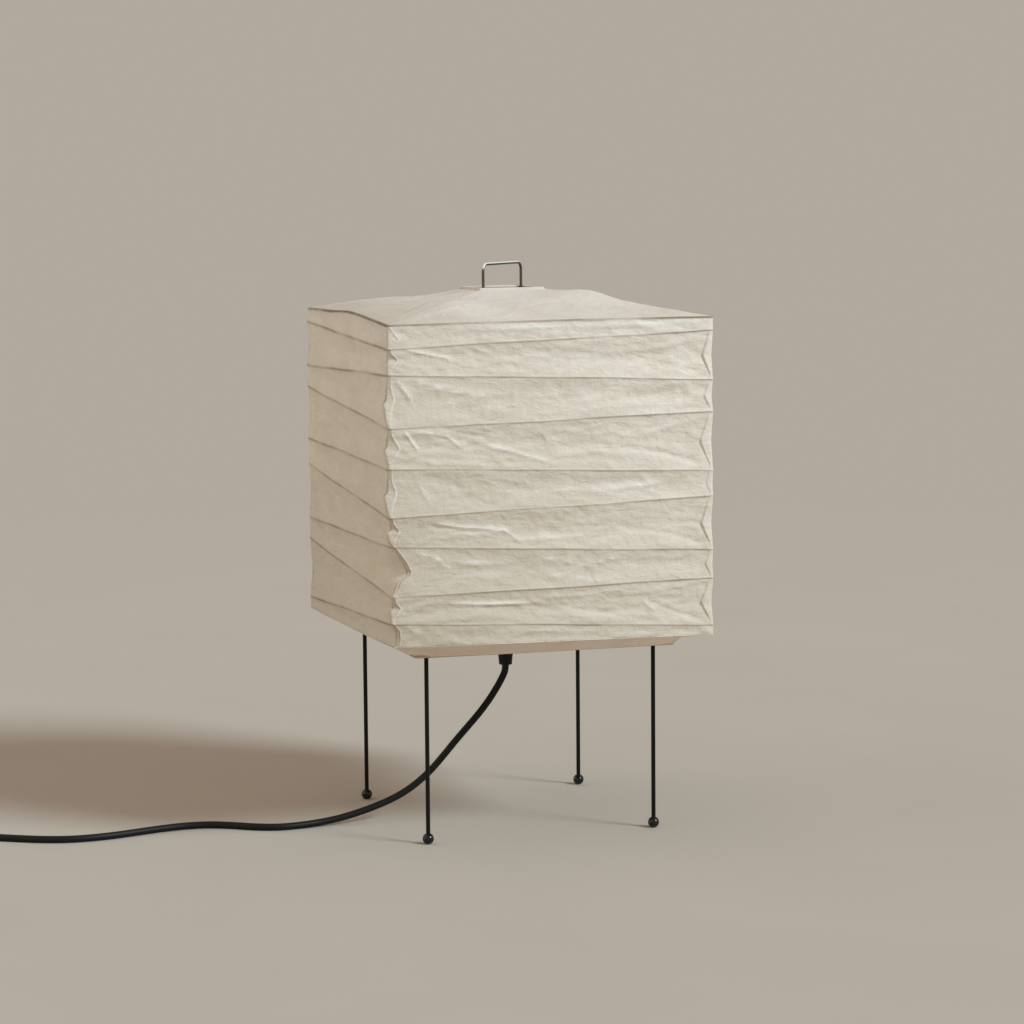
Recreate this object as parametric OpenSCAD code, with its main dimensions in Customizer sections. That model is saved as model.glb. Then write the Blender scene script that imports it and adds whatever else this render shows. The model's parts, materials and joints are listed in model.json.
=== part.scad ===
// Paper table lamp: a square shade of pleated paper over sloping wire ribs, on four thin
// ball-footed legs. The shade hangs by its collar on a wire stretcher, whose top is the handle.
// The origin is on the floor, midway between the feet. +Z is up and the lit front face looks to -Y.

/* [Shade] */
// Width of the square shade over its outer faces
shade_w = 233; // [200:1:300]
// Height of the paper wall from the bottom rim to the top rim
wall_h = 221.5; // [190:0.5:320]
// Height of the bottom rim above the floor
rim_z = 141.5; // [139:0.5:200]
// Rounding of the shade's upright corners
corner_r = 3; // [2.5:0.5:6]
// Thickness of the paper
paper_t = 0.5; // [0.3:0.1:0.8]
// How far the paper dips in between two ribs
fold_depth = 3; // [0.5:0.5:5]
// Steepest slope of the paper beside a rib, as depth over height
fold_slope = 0.25; // [0.1:0.05:0.3]
// How far an upright corner dips in between two ribs
corner_dent = 1.5; // [0.5:0.5:3]
// Distance of the corner folds from the corner, half way between two ribs
crease_in = 8; // [7:0.5:14]
// Rise of the roof from the top rim to the collar wire
roof_rise = 17.5; // [10:0.5:40]
// Drop of the hem below the bottom rim
hem_drop = 9; // [6:0.5:9.5]
// How far the hem leans in from the bottom rim
hem_inset = 22.5; // [12:0.5:30]

/* [Shade wires] */
// Diameter of the rib wires
rib_d = 1.2; // [0.8:0.1:1.6]
// Diameter of the rim and hem wires
rim_d = 1.6; // [1.2:0.1:2.4]
// Diameter of the collar wire
collar_d = 2; // [1.6:0.1:3]
// Bend radius of the collar wire's corners
collar_bend = 2.5; // [2:0.1:4]
// Room between the paper and the wire that it is glued to
glue_gap = 0.25; // [0.2:0.01:0.3]

/* [Handle and stretcher] */
// Diameter of the stretcher wire
wire_d = 2; // [1.6:0.1:2.6]
// Spread of the stretcher's two uprights, between centres
handle_w = 58; // [57:0.5:80]
// Height of the handle's bar above the collar wire, between centres
handle_h = 18.5; // [12:0.5:40]
// Bend radius of the handle's two top corners
handle_bend = 5; // [3:0.5:9]
// Room between the uprights and the inside of the collar
collar_clear = 0.5; // [0.3:0.1:1.5]
// Room between the collar and the shoulders that carry it
shoulder_clear = 0.3; // [0.2:0.05:0.5]
// How far the shoulders stand out from the uprights
shoulder_out = 5; // [4.5:0.5:7]
// Drop of the shoulders' upper slope
shoulder_drop = 3; // [2:0.5:5]

/* [Legs and base frame] */
// Diameter of the leg rods
leg_d = 3; // [2:0.5:4]
// Diameter of the ball feet
foot_d = 8; // [7:0.5:14]
// Depth of the flat under each ball foot
foot_flat = 0.2; // [0.1:0.05:0.4]
// Distance of the leg centres in from the hem wire's line
leg_in = 10.8; // [9:0.1:25]
// Diameter of the frame rods
rod_d = 4; // [3:0.5:5]
// Drop of the cross rods below the bottom rim, to their centre
frame_drop = 4.25; // [4:0.25:8]
// Outer diameter of the leg sockets
socket_d = 7; // [6:0.5:10]
// Length of the leg sockets
socket_l = 14; // [14:0.5:20]
// Diameter of the round plate in the middle of the frame
hub_d = 34; // [30:1:40]
// Thickness of that plate
hub_t = 2.5; // [1.5:0.5:4]
// Outer diameter of the two sockets for the stretcher
wire_socket_d = 6; // [5:0.5:8]
// Length of the two sockets for the stretcher
wire_socket_l = 10; // [8:0.5:14]
// Gap left at a weld
weld_gap = 0.05; // [0.02:0.01:0.1]
// Room around a rod in its socket, on the radius
fit_gap = 0.05; // [0.03:0.01:0.08]
// Diameter of the grub screws in the leg sockets
grub_d = 2.5; // [2:0.5:3]

/* [Lampholder] */
// Diameter of the threaded tube through the frame
tube_d = 10; // [9:0.5:11]
// Bore of the threaded tube
tube_bore = 6; // [5.6:0.2:7]
// Width of the two hexagon nuts across their flats
nut_w = 14; // [13:0.5:17]
// Height of the two hexagon nuts
nut_h = 3.5; // [2.5:0.5:4]
// Thickness of the spring washer
washer_t = 1.5; // [1:0.5:2]
// Length of the tapered cord gland
gland_l = 21.5; // [20:0.5:22.5]
// Diameter of the gland at the cord
gland_tip_d = 9.3; // [8:0.1:11]
// Diameter of the gland at the nut
gland_top_d = 14; // [13:0.5:18]
// Room and wall of the lampholder around the bulb's base, on the radius
holder_wall = 5; // [5:0.25:6.5]
// Height of the lampholder's cap
cap_h = 20; // [19:0.5:26]
// Height of the lampholder's collar above the cap
sleeve_h = 26; // [22:0.5:32]
// Thickness of the terminal block
block_t = 8; // [6:0.5:9]

/* [Bulb] */
// Diameter of the bulb's metal screw base
base_d = 26; // [25:0.5:26.5]
// Diameter of the glass globe
globe_d = 50; // [40:1:50]
// Height of the globe's centre above the bulb's contact
globe_up = 55; // [53:0.5:70]
// Thickness of the glass
glass_t = 0.8; // [0.5:0.1:1.2]
// Room between the bulb's base and the lampholder's screw shell, on the radius
bulb_gap = 0.3; // [0.2:0.05:0.4]

/* [Cord, switch and plug] */
// Diameter of the cord
cord_d = 5; // [4:0.5:5]
// Turns of the coil that the spare cord is wound into
coil_turns = 6.5; // [4.5:1:7.5]
// Smallest radius of the coil's turns
coil_r = 20.5; // [20:0.5:24]
// Step from one turn of the coil to the next
coil_step = 5.45; // [5.45:0.05:6]
// Thickness of the strap that ties the coil
tie_t = 0.7; // [0.5:0.1:0.7]
// Width of the strap that ties the coil
tie_w = 8; // [5:0.5:12]
// Length of the switch
switch_l = 58; // [56:1:60]
// Width of the switch
switch_w = 24; // [24:0.5:28]
// Height of the switch
switch_h = 18; // [18:0.5:20]
// Wall of the switch's housing
switch_wall = 1.6; // [1.2:0.1:1.8]
// Length of the rocker
rocker_l = 22; // [18:0.5:24]
// Width of the rocker
rocker_w = 9; // [7:0.5:9]
// Tilt of the rocker to each side
rocker_tilt = 8; // [5:1:8]
// Length of the plug's body
plug_l = 26; // [20:1:32]
// Width of the plug's body
plug_w = 22; // [20:0.5:26]
// Distance between the plug's blades, between centres
blade_gap = 12.7; // [11:0.1:13]
// Length of the plug's blades
blade_l = 17; // [14:0.5:18]

/* [Hidden] */
$fn = 32;

// Ribs from the top down: height at the near, right, far and left corner, as a share of the wall
RIBS = [
    [0.92, 0.96, 0.95, 0.965],
    [0.84, 0.805, 0.79, 0.82],
    [0.68, 0.705, 0.73, 0.75],
    [0.56, 0.52, 0.535, 0.575],
    [0.41, 0.44, 0.47, 0.49],
    [0.32, 0.27, 0.26, 0.31],
    [0.17, 0.18, 0.21, 0.24],
    [0.085, 0.03, 0.035, 0.04]
];

// Cord from the gland to the coil, through the switch
CORD = [
    [0, 0, 109.5], [0, 0, 104.5], [-1.5, 0, 99], [-5.5, 0, 92], [-12, 0, 83.5], [-20, 0, 74.5],
    [-29, 0, 65.5], [-38, 0, 56], [-47, 0, 46], [-55.5, 0, 37], [-64, 0, 29.5], [-74, 0, 22.5],
    [-87, 0, 16], [-104, 0, 10.2], [-122, 0, 5.6], [-139, 0, 3], [-155, -3, 2.5], [-171, -4, 2.5],
    [-186, 2, 2.5], [-200, 12, 2.5], [-215, 20, 2.5], [-232, 22, 2.5], [-250, 19, 2.5],
    [-268, 13.5, 2.5], [-286, 8, 2.5], [-304, 5, 2.5], [-321, 6, 2.5], [-338, 12, 2.5],
    [-352, 20, 2.5], [-366, 29, 2.5], [-380, 36.5, 3.4], [-394, 41, 5.3], [-406, 42, 6.5],
    [-440, 42, 6.5], [-474, 42, 6.5], [-480, 42, 6], [-487, 42, 4.9], [-493, 42, 3.8],
    [-498, 42, 3.3], [-503, 42, 3.3]
];
// End of the cord, from the coil to the plug, beside the coil's lowest point in y
TAIL = [[-503, 0, 8.8], [-498, 0, 8.8], [-492, 0, 7.8], [-485, 0, 6.5], [-478, 0, 6.5]];
// Middle of the switch on the floor
SWITCH = [-440, 42];

// Shade
half = shade_w / 2;
top_z = rim_z + wall_h;
collar_z = top_z + roof_rise;
hem_half = half - hem_inset;
hem_z = rim_z - hem_drop;
panels = len(RIBS) + 1;
arc_mid = 1 - cos(45);
inner_places = [-0.6, -0.2, 0.2, 0.6];
fold_l = sqrt(1 + fold_slope * fold_slope);
rib_in = paper_t + (rib_d / 2 + glue_gap) * fold_l;
rim_in = paper_t + (rim_d / 2 + glue_gap) * (fold_l + fold_slope);
rim_bend = 2.5;
hem_lean = (hem_drop - glue_gap - paper_t) / hem_inset;
hem_seat = (rim_d / 2 + glue_gap) * sqrt(1 + hem_lean * hem_lean);

// Handle and stretcher
reach = handle_w / 2;
collar_inner_bend = collar_bend - collar_d / 2;
opening = (reach + wire_d / 2 + collar_clear - collar_inner_bend) / sqrt(2) + collar_inner_bend;
collar_half = opening + collar_d / 2;
collar_corner = (collar_half - collar_bend) * sqrt(2) + collar_bend;
carry = (wire_d + collar_d) / 2 + shoulder_clear;
slope_l = sqrt(pow(shoulder_out, 2) + pow(shoulder_drop, 2));
shoulder_sink = (carry * slope_l - (collar_corner - reach) * shoulder_drop) / shoulder_out;
shoulder_z = collar_z - shoulder_sink;
bar_z = collar_z + handle_h;

// Legs and base frame
leg_at = hem_half - leg_in;
frame_z = rim_z - frame_drop;
hub_top = frame_z + hub_t / 2;
hub_bottom = frame_z - hub_t / 2;
layer_gap = 0.1;
side_z = frame_z - rod_d - layer_gap;
socket_z = side_z - rod_d / 2 - 0.15;
socket_roof = 2;
end_gap = 0.5;
foot_r = foot_d / 2;
foot_z = foot_r - foot_flat;
foot_bore_z = foot_z - 0.3;
grub_z = socket_z + 10;
grub_out = 1;
wire_socket_z = frame_z + rod_d / 2 + weld_gap;
socket_floor = 1;

// Lampholder, from the frame's plate up and down
lower_nut_z = hub_bottom - washer_t - nut_h;
gland_z = lower_nut_z - gland_l;
tube_in_gland = 9;
tube_z = lower_nut_z - tube_in_gland;
holder_d = base_d + 2 * holder_wall;
holder_z = hub_top + nut_h;
cap_floor = 5;
tube_top = holder_z + cap_floor - 0.5;
ledge_z = holder_z + cap_floor + 3;
block_top = ledge_z + block_t;
cap_wall = 2;
cap_in = holder_d / 2 - cap_wall;
slip = 0.1;
block_r = cap_in - slip;
contact_t = 0.4;
contact_dome = 0.2;
shell_r = base_d / 2 + bulb_gap;
shell_t = 0.5;
sleeve_r = shell_r + shell_t + 0.3;
sleeve_top = holder_z + cap_h + sleeve_h;
shell_top = sleeve_top - 6;
terminal_d = 3;
terminal_head_d = 5.2;
terminal_x = base_d / 2 - 1.1 - terminal_head_d / 2;
cord_end_z = holder_z + cap_floor + 0.5;
core_d = 1.2;

// Bulb
tip_z = block_top + contact_t + contact_dome + 0.3;
tip_h = 1.3;
base_z = tip_z + tip_h + 0.3;
base_top = sleeve_top - 4;
neck_r = base_d / 2 - 0.6;
globe_r = globe_d / 2;
globe_z = tip_z + globe_up;

// Cord, switch and plug
cord_r = cord_d / 2;
cord_gap = 0.1;
coil_lead = 5;
coil_start = CORD[len(CORD) - 1] - [coil_lead, 0, 0];
coil_rise = TAIL[0].z - coil_start.z;
coil_out = coil_r + coil_step * coil_turns / 2;
coil_y = coil_start.y - coil_out;
coil_rings = 24;
tail_y = coil_y - coil_out;
tie_gap = 0.1;
tie_side = 0.7;
axis_z = 6.5;
pivot_z = switch_h - 3.6;
trunnion_d = 3;
screw_x = 20;
post_d = 6;
post_bite = 0.4;
screw_y = switch_w / 2 - switch_wall - post_d / 2 + post_bite;
screw_d = 2.4;
screw_head_d = 4.6;
switch_corner = 5;
plug_at = [TAIL[len(TAIL) - 1].x, tail_y, axis_z];
plug_corner = 4;
relief_l = 14;
blade_root = 8;
blade_t = 1.5;
blade_w = 6.3;

// Corners in order near, right, far and left, as signs of x and y
CORNERS = [[-1, -1], [1, -1], [1, 1], [-1, 1]];

// Sides in the same order: the way along each side, and the way in from it
ALONG = [[1, 0], [0, 1], [-1, 0], [0, -1]];
INWARD = [[0, 1], [-1, 0], [0, -1], [1, 0]];

function unit(v) = v / norm(v);

// A place on side s: a along it from its middle, d in from a square of the given half width
function on_side(s, a, d, h = half) = a * ALONG[s] - (h - d) * INWARD[s];

// Height of a level at a place on side s: level 0 is the top rim, the last one the bottom rim
function share(level, c) = level == 0 ? 1 : level > len(RIBS) ? 0 : RIBS[level - 1][c % 4];
function level_z(level, s, a) =
    let (u = (a + half) / (2 * half))
    rim_z + wall_h * ((1 - u) * share(level, s) + u * share(level, s + 1));

// Triangles between rows of points that close around, and between the first and last row if looped
function net(rows, cols, looped = false, first = 0) = [
    for (i = [0 : rows - (looped ? 1 : 2)], j = [0 : cols - 1])
        let (
            k = (j + 1) % cols,
            n = (i + 1) % rows,
            a = first + i * cols + j,
            b = first + i * cols + k,
            c = first + n * cols + k,
            d = first + n * cols + j
        )
        each [[a, b, c], [a, c, d]]
];
function flipped(faces) = [for (f = faces) [f[2], f[1], f[0]]];

// A solid sheet between an outer and an inner list of rows, open at the middle
module sheet(outer, inner) {
    rows = len(outer);
    cols = len(outer[0]);
    count = rows * cols;
    points = concat([for (r = outer) each r], [for (r = inner) each r]);
    edges = [
        for (j = [0 : cols - 1])
            let (k = (j + 1) % cols, last = (rows - 1) * cols)
            each [
                [k, j, count + j], [k, count + j, count + k],
                [last + j, last + k, count + last + k], [last + j, count + last + k, count + last + j]
            ]
    ];
    polyhedron(points, concat(net(rows, cols), flipped(net(rows, cols, first = count)), edges));
}

// Tangents of an open path, and a side vector carried along it without twist
function tangents(p) = [
    for (i = [0 : len(p) - 1]) unit(p[min(i + 1, len(p) - 1)] - p[max(i - 1, 0)])
];
function carried(v, t) = unit(v - (v * t) * t);
function sides(t) = [for (i = 0, v = carried([0, 1, 0], t[0]); i < len(t);
    i = i + 1, v = carried(v, t[min(i, len(t) - 1)])) v];

// A tube swept along an open path, with flat ends square to it
module tube(path, r, n) {
    t = tangents(path);
    v = sides(t);
    points = [
        for (i = [0 : len(path) - 1], j = [0 : n - 1])
            path[i] + r * (cos(360 * j / n) * v[i] + sin(360 * j / n) * cross(t[i], v[i]))
    ];
    last = len(points) - n;
    caps = [[for (j = [0 : n - 1]) j], [for (j = [n - 1 : -1 : 0]) last + j]];
    polyhedron(points, concat(caps, flipped(net(len(path), n))));
}

// A closed wire loop with eight-sided section, through level points with outward directions
module wire_loop(path, outward, r) {
    n = 8;
    points = [
        for (i = [0 : len(path) - 1], j = [0 : n - 1])
            path[i] + r * (cos(360 * j / n) * outward[i] + sin(360 * j / n) * [0, 0, 1])
    ];
    polyhedron(points, net(len(path), n, looped = true));
}

// A round rod between two points
module rod(p, q, d) {
    v = q - p;
    translate(p) rotate([0, acos(v.z / norm(v)), atan2(v.y, v.x)]) cylinder(d = d, h = norm(v));
}

// A flat square loop of round wire with bent corners
module square_loop(h, bend, d) {
    straight = h - bend;
    for (s = [0 : 3]) rotate(90 * s) {
        translate([-straight, -h, 0]) rotate([0, 90, 0]) cylinder(d = d, h = 2 * straight);
        translate([straight, straight, 0]) rotate_extrude(angle = 90) translate([bend, 0]) circle(d = d);
    }
}

// A plate with rounded corners, lying in the middle of x and y
module rounded_plate(l, w, r, h) {
    linear_extrude(h) {
        square([l - 2 * r, w], center = true);
        square([l, w - 2 * r], center = true);
        for (x = [-1, 1], y = [-1, 1]) translate([x * (l / 2 - r), y * (w / 2 - r)]) circle(r);
    }
}

module ring(outer_d, inner_d, h, z) {
    translate([0, 0, z]) difference() {
        cylinder(d = outer_d, h = h);
        translate([0, 0, -1]) cylinder(d = inner_d, h = h + 2);
    }
}

// Legs and feet

module leg(c) {
    color("#1c1c1c") translate([leg_at * CORNERS[c].x, leg_at * CORNERS[c].y, foot_bore_z + fit_gap])
        cylinder(d = leg_d, h = socket_z + socket_l - socket_roof - end_gap - foot_bore_z - fit_gap);
}

module foot(c) {
    color("#141414") translate([leg_at * CORNERS[c].x, leg_at * CORNERS[c].y, 0]) difference() {
        translate([0, 0, foot_z]) sphere(r = foot_r);
        translate([0, 0, -foot_r]) cube(foot_d, center = true);
        translate([0, 0, foot_bore_z]) cylinder(d = leg_d + 2 * fit_gap, h = foot_d);
    }
}

// Base frame

module leg_sockets() {
    color("#242424") for (c = CORNERS) translate([leg_at * c.x, leg_at * c.y, socket_z]) difference() {
        cylinder(d = socket_d, h = socket_l);
        translate([0, 0, -1]) cylinder(d = leg_d + 2 * fit_gap, h = socket_l - socket_roof + 1);
        translate([0, 0, grub_z - socket_z]) rotate([0, 90, atan2(c.y, c.x)])
            cylinder(d = grub_d + 2 * fit_gap, h = socket_d);
    }
}

module leg_grub_screws() {
    color("dimgray") for (c = CORNERS) translate([leg_at * c.x, leg_at * c.y, grub_z])
        rotate([0, 90, atan2(c.y, c.x)]) difference() {
            translate([0, 0, leg_d / 2 + fit_gap])
                cylinder(d = grub_d, h = socket_d / 2 + grub_out - leg_d / 2 - fit_gap);
            translate([0, 0, socket_d / 2]) cylinder(d = grub_d / 2, h = 2 * grub_out, $fn = 6);
        }
}

module frame_side_rods() {
    span = 2 * leg_at - socket_d - 2 * weld_gap;
    color("#242424") for (s = [0 : 3]) rotate(90 * s)
        translate([-span / 2, -leg_at, side_z]) rotate([0, 90, 0]) cylinder(d = rod_d, h = span);
}

module frame_cross_rods() {
    from = hub_d / 2 + weld_gap;
    to = leg_at * sqrt(2) - socket_d / 2 - weld_gap;
    color("#242424") for (s = [0 : 3]) rotate(45 + 90 * s)
        translate([from, 0, frame_z]) rotate([0, 90, 0]) cylinder(d = rod_d, h = to - from);
}

module hub_plate() {
    color("#242424") ring(hub_d, tube_d + 2 * fit_gap, hub_t, hub_bottom);
}

module stretcher_sockets() {
    color("#242424") for (s = [0, 1]) rotate(45 + 180 * s) translate([reach, 0, wire_socket_z]) difference() {
        cylinder(d = wire_socket_d, h = wire_socket_l);
        translate([0, 0, socket_floor]) cylinder(d = wire_d + 2 * fit_gap, h = wire_socket_l);
    }
}

// Handle and stretcher: one wire, from one frame socket over the handle to the other

module stretcher_handle() {
    low = wire_socket_z + socket_floor + end_gap / 2;
    side_path = [
        [reach, 0, bar_z - handle_bend],
        [reach, 0, shoulder_z],
        [reach + shoulder_out, 0, shoulder_z - shoulder_drop],
        [reach, 0, shoulder_z - shoulder_drop - shoulder_out],
        [reach, 0, low]
    ];
    color("silver") rotate(45) {
        rod([handle_bend - reach, 0, bar_z], [reach - handle_bend, 0, bar_z], wire_d);
        for (m = [0, 1]) mirror([m, 0, 0]) {
            translate([reach - handle_bend, 0, bar_z - handle_bend]) rotate([90, 0, 0])
                rotate_extrude(angle = 90) translate([handle_bend, 0]) circle(d = wire_d);
            for (i = [0 : 3]) rod(side_path[i], side_path[i + 1], wire_d);
            for (i = [1 : 3]) translate(side_path[i]) sphere(d = wire_d);
        }
    }
}

// Lampholder and what clamps it to the frame

module threaded_tube() {
    color("goldenrod") ring(tube_d, tube_bore, tube_top - tube_z, tube_z);
}

module hex_nut(z) {
    translate([0, 0, z]) difference() {
        cylinder(d = nut_w / cos(30), h = nut_h, $fn = 6);
        translate([0, 0, -1]) cylinder(d = tube_d + 2 * fit_gap, h = nut_h + 2);
    }
}

module lower_nut() {
    color("silver") hex_nut(lower_nut_z);
}

module upper_nut() {
    color("silver") hex_nut(hub_top);
}

module spring_washer() {
    slit = 1.2;
    color("gray") difference() {
        ring(nut_w + 1, tube_d + 4 * fit_gap, washer_t, hub_bottom - washer_t);
        translate([0, -slit / 2, hub_bottom - washer_t - 1]) cube([nut_w, slit, washer_t + 2]);
    }
}

module cord_gland() {
    step_z = tube_z - gland_z - slip;
    waist_z = 6.5;
    waist_r = gland_tip_d / 2 + 0.6;
    color("#181818") translate([0, 0, gland_z]) rotate_extrude() polygon([
        [cord_r + cord_gap, 0], [gland_tip_d / 2, 0], [waist_r, waist_z],
        [gland_top_d / 2, gland_l - 4], [gland_top_d / 2, gland_l],
        [tube_d / 2 + fit_gap, gland_l], [tube_d / 2 + fit_gap, step_z], [cord_r + cord_gap, step_z]
    ]);
}

module cord_inner_end() {
    color("#181818") translate([0, 0, gland_z]) cylinder(d = cord_d, h = cord_end_z - gland_z);
}

module core_wires() {
    start_x = 1.2;
    run_z = cord_end_z + 1.1;
    stop_x = terminal_x - terminal_d / 2 - 0.3;
    color("peru") for (m = [0, 1]) mirror([m, 0, 0]) {
        rod([start_x, 0, cord_end_z], [start_x, 0, run_z], core_d);
        translate([start_x, 0, run_z]) sphere(d = core_d);
        rod([start_x, 0, run_z], [stop_x, 0, run_z], core_d);
    }
}

module holder_cap() {
    color("#e8e4da") translate([0, 0, holder_z]) rotate_extrude() polygon([
        [tube_d / 2 + fit_gap, 0], [holder_d / 2 - 1.5, 0], [holder_d / 2, 1.5], [holder_d / 2, cap_h],
        [cap_in, cap_h], [cap_in, ledge_z - holder_z], [cap_in - 3, ledge_z - holder_z],
        [cap_in - 3, cap_floor], [tube_d / 2 + fit_gap, cap_floor]
    ]);
}

module terminal_block() {
    color("ivory") translate([0, 0, ledge_z]) difference() {
        cylinder(r = block_r, h = block_t);
        for (x = [-1, 1]) translate([x * terminal_x, 0, -1])
            cylinder(d = terminal_d + 2 * fit_gap, h = block_t + 2);
    }
}

module terminal_screws() {
    head_h = 1;
    color("gold") for (x = [-1, 1]) translate([x * terminal_x, 0, 0]) {
        translate([0, 0, ledge_z - 2.1]) cylinder(d = terminal_d, h = block_top - ledge_z + 2.1 + contact_t);
        translate([0, 0, block_top + contact_t]) difference() {
            cylinder(d = terminal_head_d, h = head_h);
            translate([-terminal_head_d, -0.4, head_h / 2]) cube([2 * terminal_head_d, 0.8, head_h]);
        }
    }
}

// A flat lug under a terminal screw, from the screw to the given x
module lug(from_x, to_x, w, side) {
    translate([0, 0, block_top]) difference() {
        translate([min(from_x, to_x), -w / 2, 0]) cube([abs(to_x - from_x), w, contact_t]);
        translate([side * terminal_x, 0, -1]) cylinder(d = terminal_d + 2 * fit_gap, h = contact_t + 2);
    }
}

module centre_contact() {
    color("gold") {
        lug(-terminal_x - 2.5, 3, 4.4, -1);
        translate([0, 0, block_top]) cylinder(d = 4, h = contact_t + contact_dome);
    }
}

module screw_shell() {
    color("gold") {
        ring(2 * (shell_r + shell_t), 2 * shell_r, shell_top - block_top, block_top);
        lug(terminal_x - 2.5, shell_r + shell_t / 2, 4.4, 1);
    }
}

module holder_sleeve() {
    cap_top = holder_z + cap_h;
    color("#e8e4da") rotate_extrude() polygon([
        [sleeve_r, block_top], [block_r, block_top], [block_r, cap_top], [holder_d / 2, cap_top],
        [holder_d / 2 - 1, sleeve_top - 1], [holder_d / 2 - 2, sleeve_top], [sleeve_r, sleeve_top]
    ]);
}

// Bulb

module bulb_contact() {
    color("silver") translate([0, 0, tip_z]) cylinder(d1 = 6, d2 = 8, h = tip_h);
}

module bulb_insulator() {
    color("#202020") translate([0, 0, base_z]) cylinder(r1 = base_d / 2 - 6, r2 = base_d / 2 - 1, h = 3);
}

module bulb_base() {
    lip = 3;
    color("silver") rotate_extrude() polygon([
        [base_d / 2 - 0.8, base_z + lip], [base_d / 2, base_z + lip],
        [base_d / 2, base_top], [base_d / 2 - 0.5, base_top], [base_d / 2 - 0.5, base_z + lip + 0.5],
        [base_d / 2 - 0.8, base_z + lip + 0.5]
    ]);
}

// Half outline of the globe and its neck, for the outer and the inner face of the glass
module globe_outline(r, neck, low) {
    shoulder = globe_z - r * cos(40);
    intersection() {
        union() {
            translate([0, globe_z]) circle(r = r, $fn = 64);
            translate([0, low]) square([neck, globe_z - low]);
            polygon([[0, base_top], [neck, base_top + 1], [r * sin(40), shoulder], [0, shoulder]]);
        }
        translate([0, low - 1]) square([2 * r, 3 * r + globe_z - low]);
    }
}

module bulb_glass() {
    low = base_top - 12;
    color("white", 0.6) rotate_extrude($fn = 64) difference() {
        globe_outline(globe_r, neck_r, low);
        globe_outline(globe_r - glass_t, neck_r - glass_t, low - 2);
    }
}

module bulb_filament() {
    low = base_top - 12;
    lead_x = 5;
    stem_top = base_top + 6;
    color("lightgray") {
        translate([0, 0, low]) cylinder(r = neck_r - glass_t - slip, h = 1.5);
        translate([0, 0, low + 1]) cylinder(r1 = 6, r2 = 2.5, h = stem_top - low - 1);
        for (x = [-1, 1]) {
            rod([x * 1.5, 0, stem_top - 1], [x * lead_x, 0, globe_z], 0.8);
            translate([x * lead_x, 0, globe_z]) sphere(d = 1.4);
        }
        rod([-lead_x, 0, globe_z], [lead_x, 0, globe_z], 1.2);
    }
}

// Shade: the paper wall is rings at the ribs, with a dipped ring half way between two ribs.
// Each column holds its place on a side at a rib, and where it lies half way to the next one.

function columns(t) = [
    [-half + arc_mid * corner_r + sin(45) * t, arc_mid * corner_r + sin(45) * t,
        arc_mid * corner_dent * 2, arc_mid * corner_dent * 2],
    [-half + corner_r, t, 0, corner_dent],
    [-half + corner_r + 1, t, crease_in - corner_r - 1, fold_depth],
    for (u = inner_places) [u * half, t, 0, fold_depth],
    [half - corner_r - 1, t, corner_r + 1 - crease_in, fold_depth],
    [half - corner_r, t, 0, corner_dent]
];

// One point of the wall: c is a column, level may be half way between two ribs
function wall_point(s, c, level) =
    let (
        above = floor(level),
        below = ceil(level),
        a = c[0],
        high = level_z(above, s, a),
        low = level_z(below, s, a),
        dip = min(1, fold_slope * (high - low) / 2 / fold_depth),
        at = on_side(s, a + dip * c[2], c[1] + dip * c[3])
    )
    [at.x, at.y, (high + low) / 2];
function wall_rows(t) = [
    for (i = [0 : 2 * panels]) [for (s = [0 : 3], c = columns(t)) wall_point(s, c, i / 2)]
];

module wall_paper() {
    color("#efe8d8") sheet(wall_rows(0), wall_rows(paper_t));
}

// A ring of a plain square sheet, with the wall's corner rounding
function plain_row(h, z, r) = [
    for (s = [0 : 3])
        each [
            for (p = [[arc_mid * r - h, arc_mid * r], [r - h, 0], [h - r, 0]])
                let (at = on_side(s, p[0], p[1], h)) [at.x, at.y, z]
        ]
];

module roof_paper() {
    edge_z = top_z + weld_gap;
    inner_half = collar_half + collar_d / 2 + glue_gap;
    color("#f2ecdd") sheet(
        [plain_row(inner_half, collar_z + paper_t / 2, collar_bend), plain_row(half, edge_z + paper_t, corner_r)],
        [plain_row(inner_half, collar_z - paper_t / 2, collar_bend), plain_row(half, edge_z, corner_r)]
    );
}

// Height of the hem's inner face at a half width
function hem_face_z(h) = rim_z - glue_gap - hem_lean * (half - h);

module hem_paper() {
    edge_z = rim_z - glue_gap;
    color("#e6d8c4") sheet(
        [plain_row(half, edge_z - paper_t, corner_r), plain_row(hem_half, hem_z, corner_r)],
        [plain_row(half, edge_z, corner_r), plain_row(hem_half, hem_z + paper_t, corner_r)]
    );
}

// A rib: a wire loop inside the paper, at one level of the wall
module rib(level) {
    h = half - rib_in;
    r = max(corner_r - rib_in, 1);
    places = [[arc_mid * r - h, arc_mid * r], [r - h, 0], [h - r, 0]];
    path = [
        for (s = [0 : 3], p = places)
            let (at = on_side(s, p[0], p[1], h)) [at.x, at.y, level_z(level, s, p[0])]
    ];
    outward = [
        for (s = [0 : 3], i = [0 : 2])
            let (
                out = -INWARD[s],
                corner = unit(out - ALONG[s]),
                side = i == 0 ? corner : i == 1 ? unit(out - 0.2 * ALONG[s]) : unit(out + 0.2 * ALONG[s])
            )
            [side.x, side.y, 0]
    ];
    color("tan") wire_loop(path, outward, rib_d / 2);
}

module collar_wire() {
    color("burlywood") translate([0, 0, collar_z]) square_loop(collar_half, collar_bend, collar_d);
}

module top_rim_wire() {
    color("tan") translate([0, 0, top_z - rim_d / 2 - glue_gap]) square_loop(half - rim_in, rim_bend, rim_d);
}

// A wire square seated on the hem's inner face
module wire_on_hem(h) {
    color("tan") translate([0, 0, hem_face_z(h) + hem_seat]) square_loop(h, rim_bend, rim_d);
}

module bottom_rim_wire() {
    wire_on_hem(half - rim_in);
}

module hem_wire() {
    wire_on_hem(hem_half + rim_d / 2);
}

// Cord

module cord() {
    color("#181818") tube(CORD, cord_r, 8);
}

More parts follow.
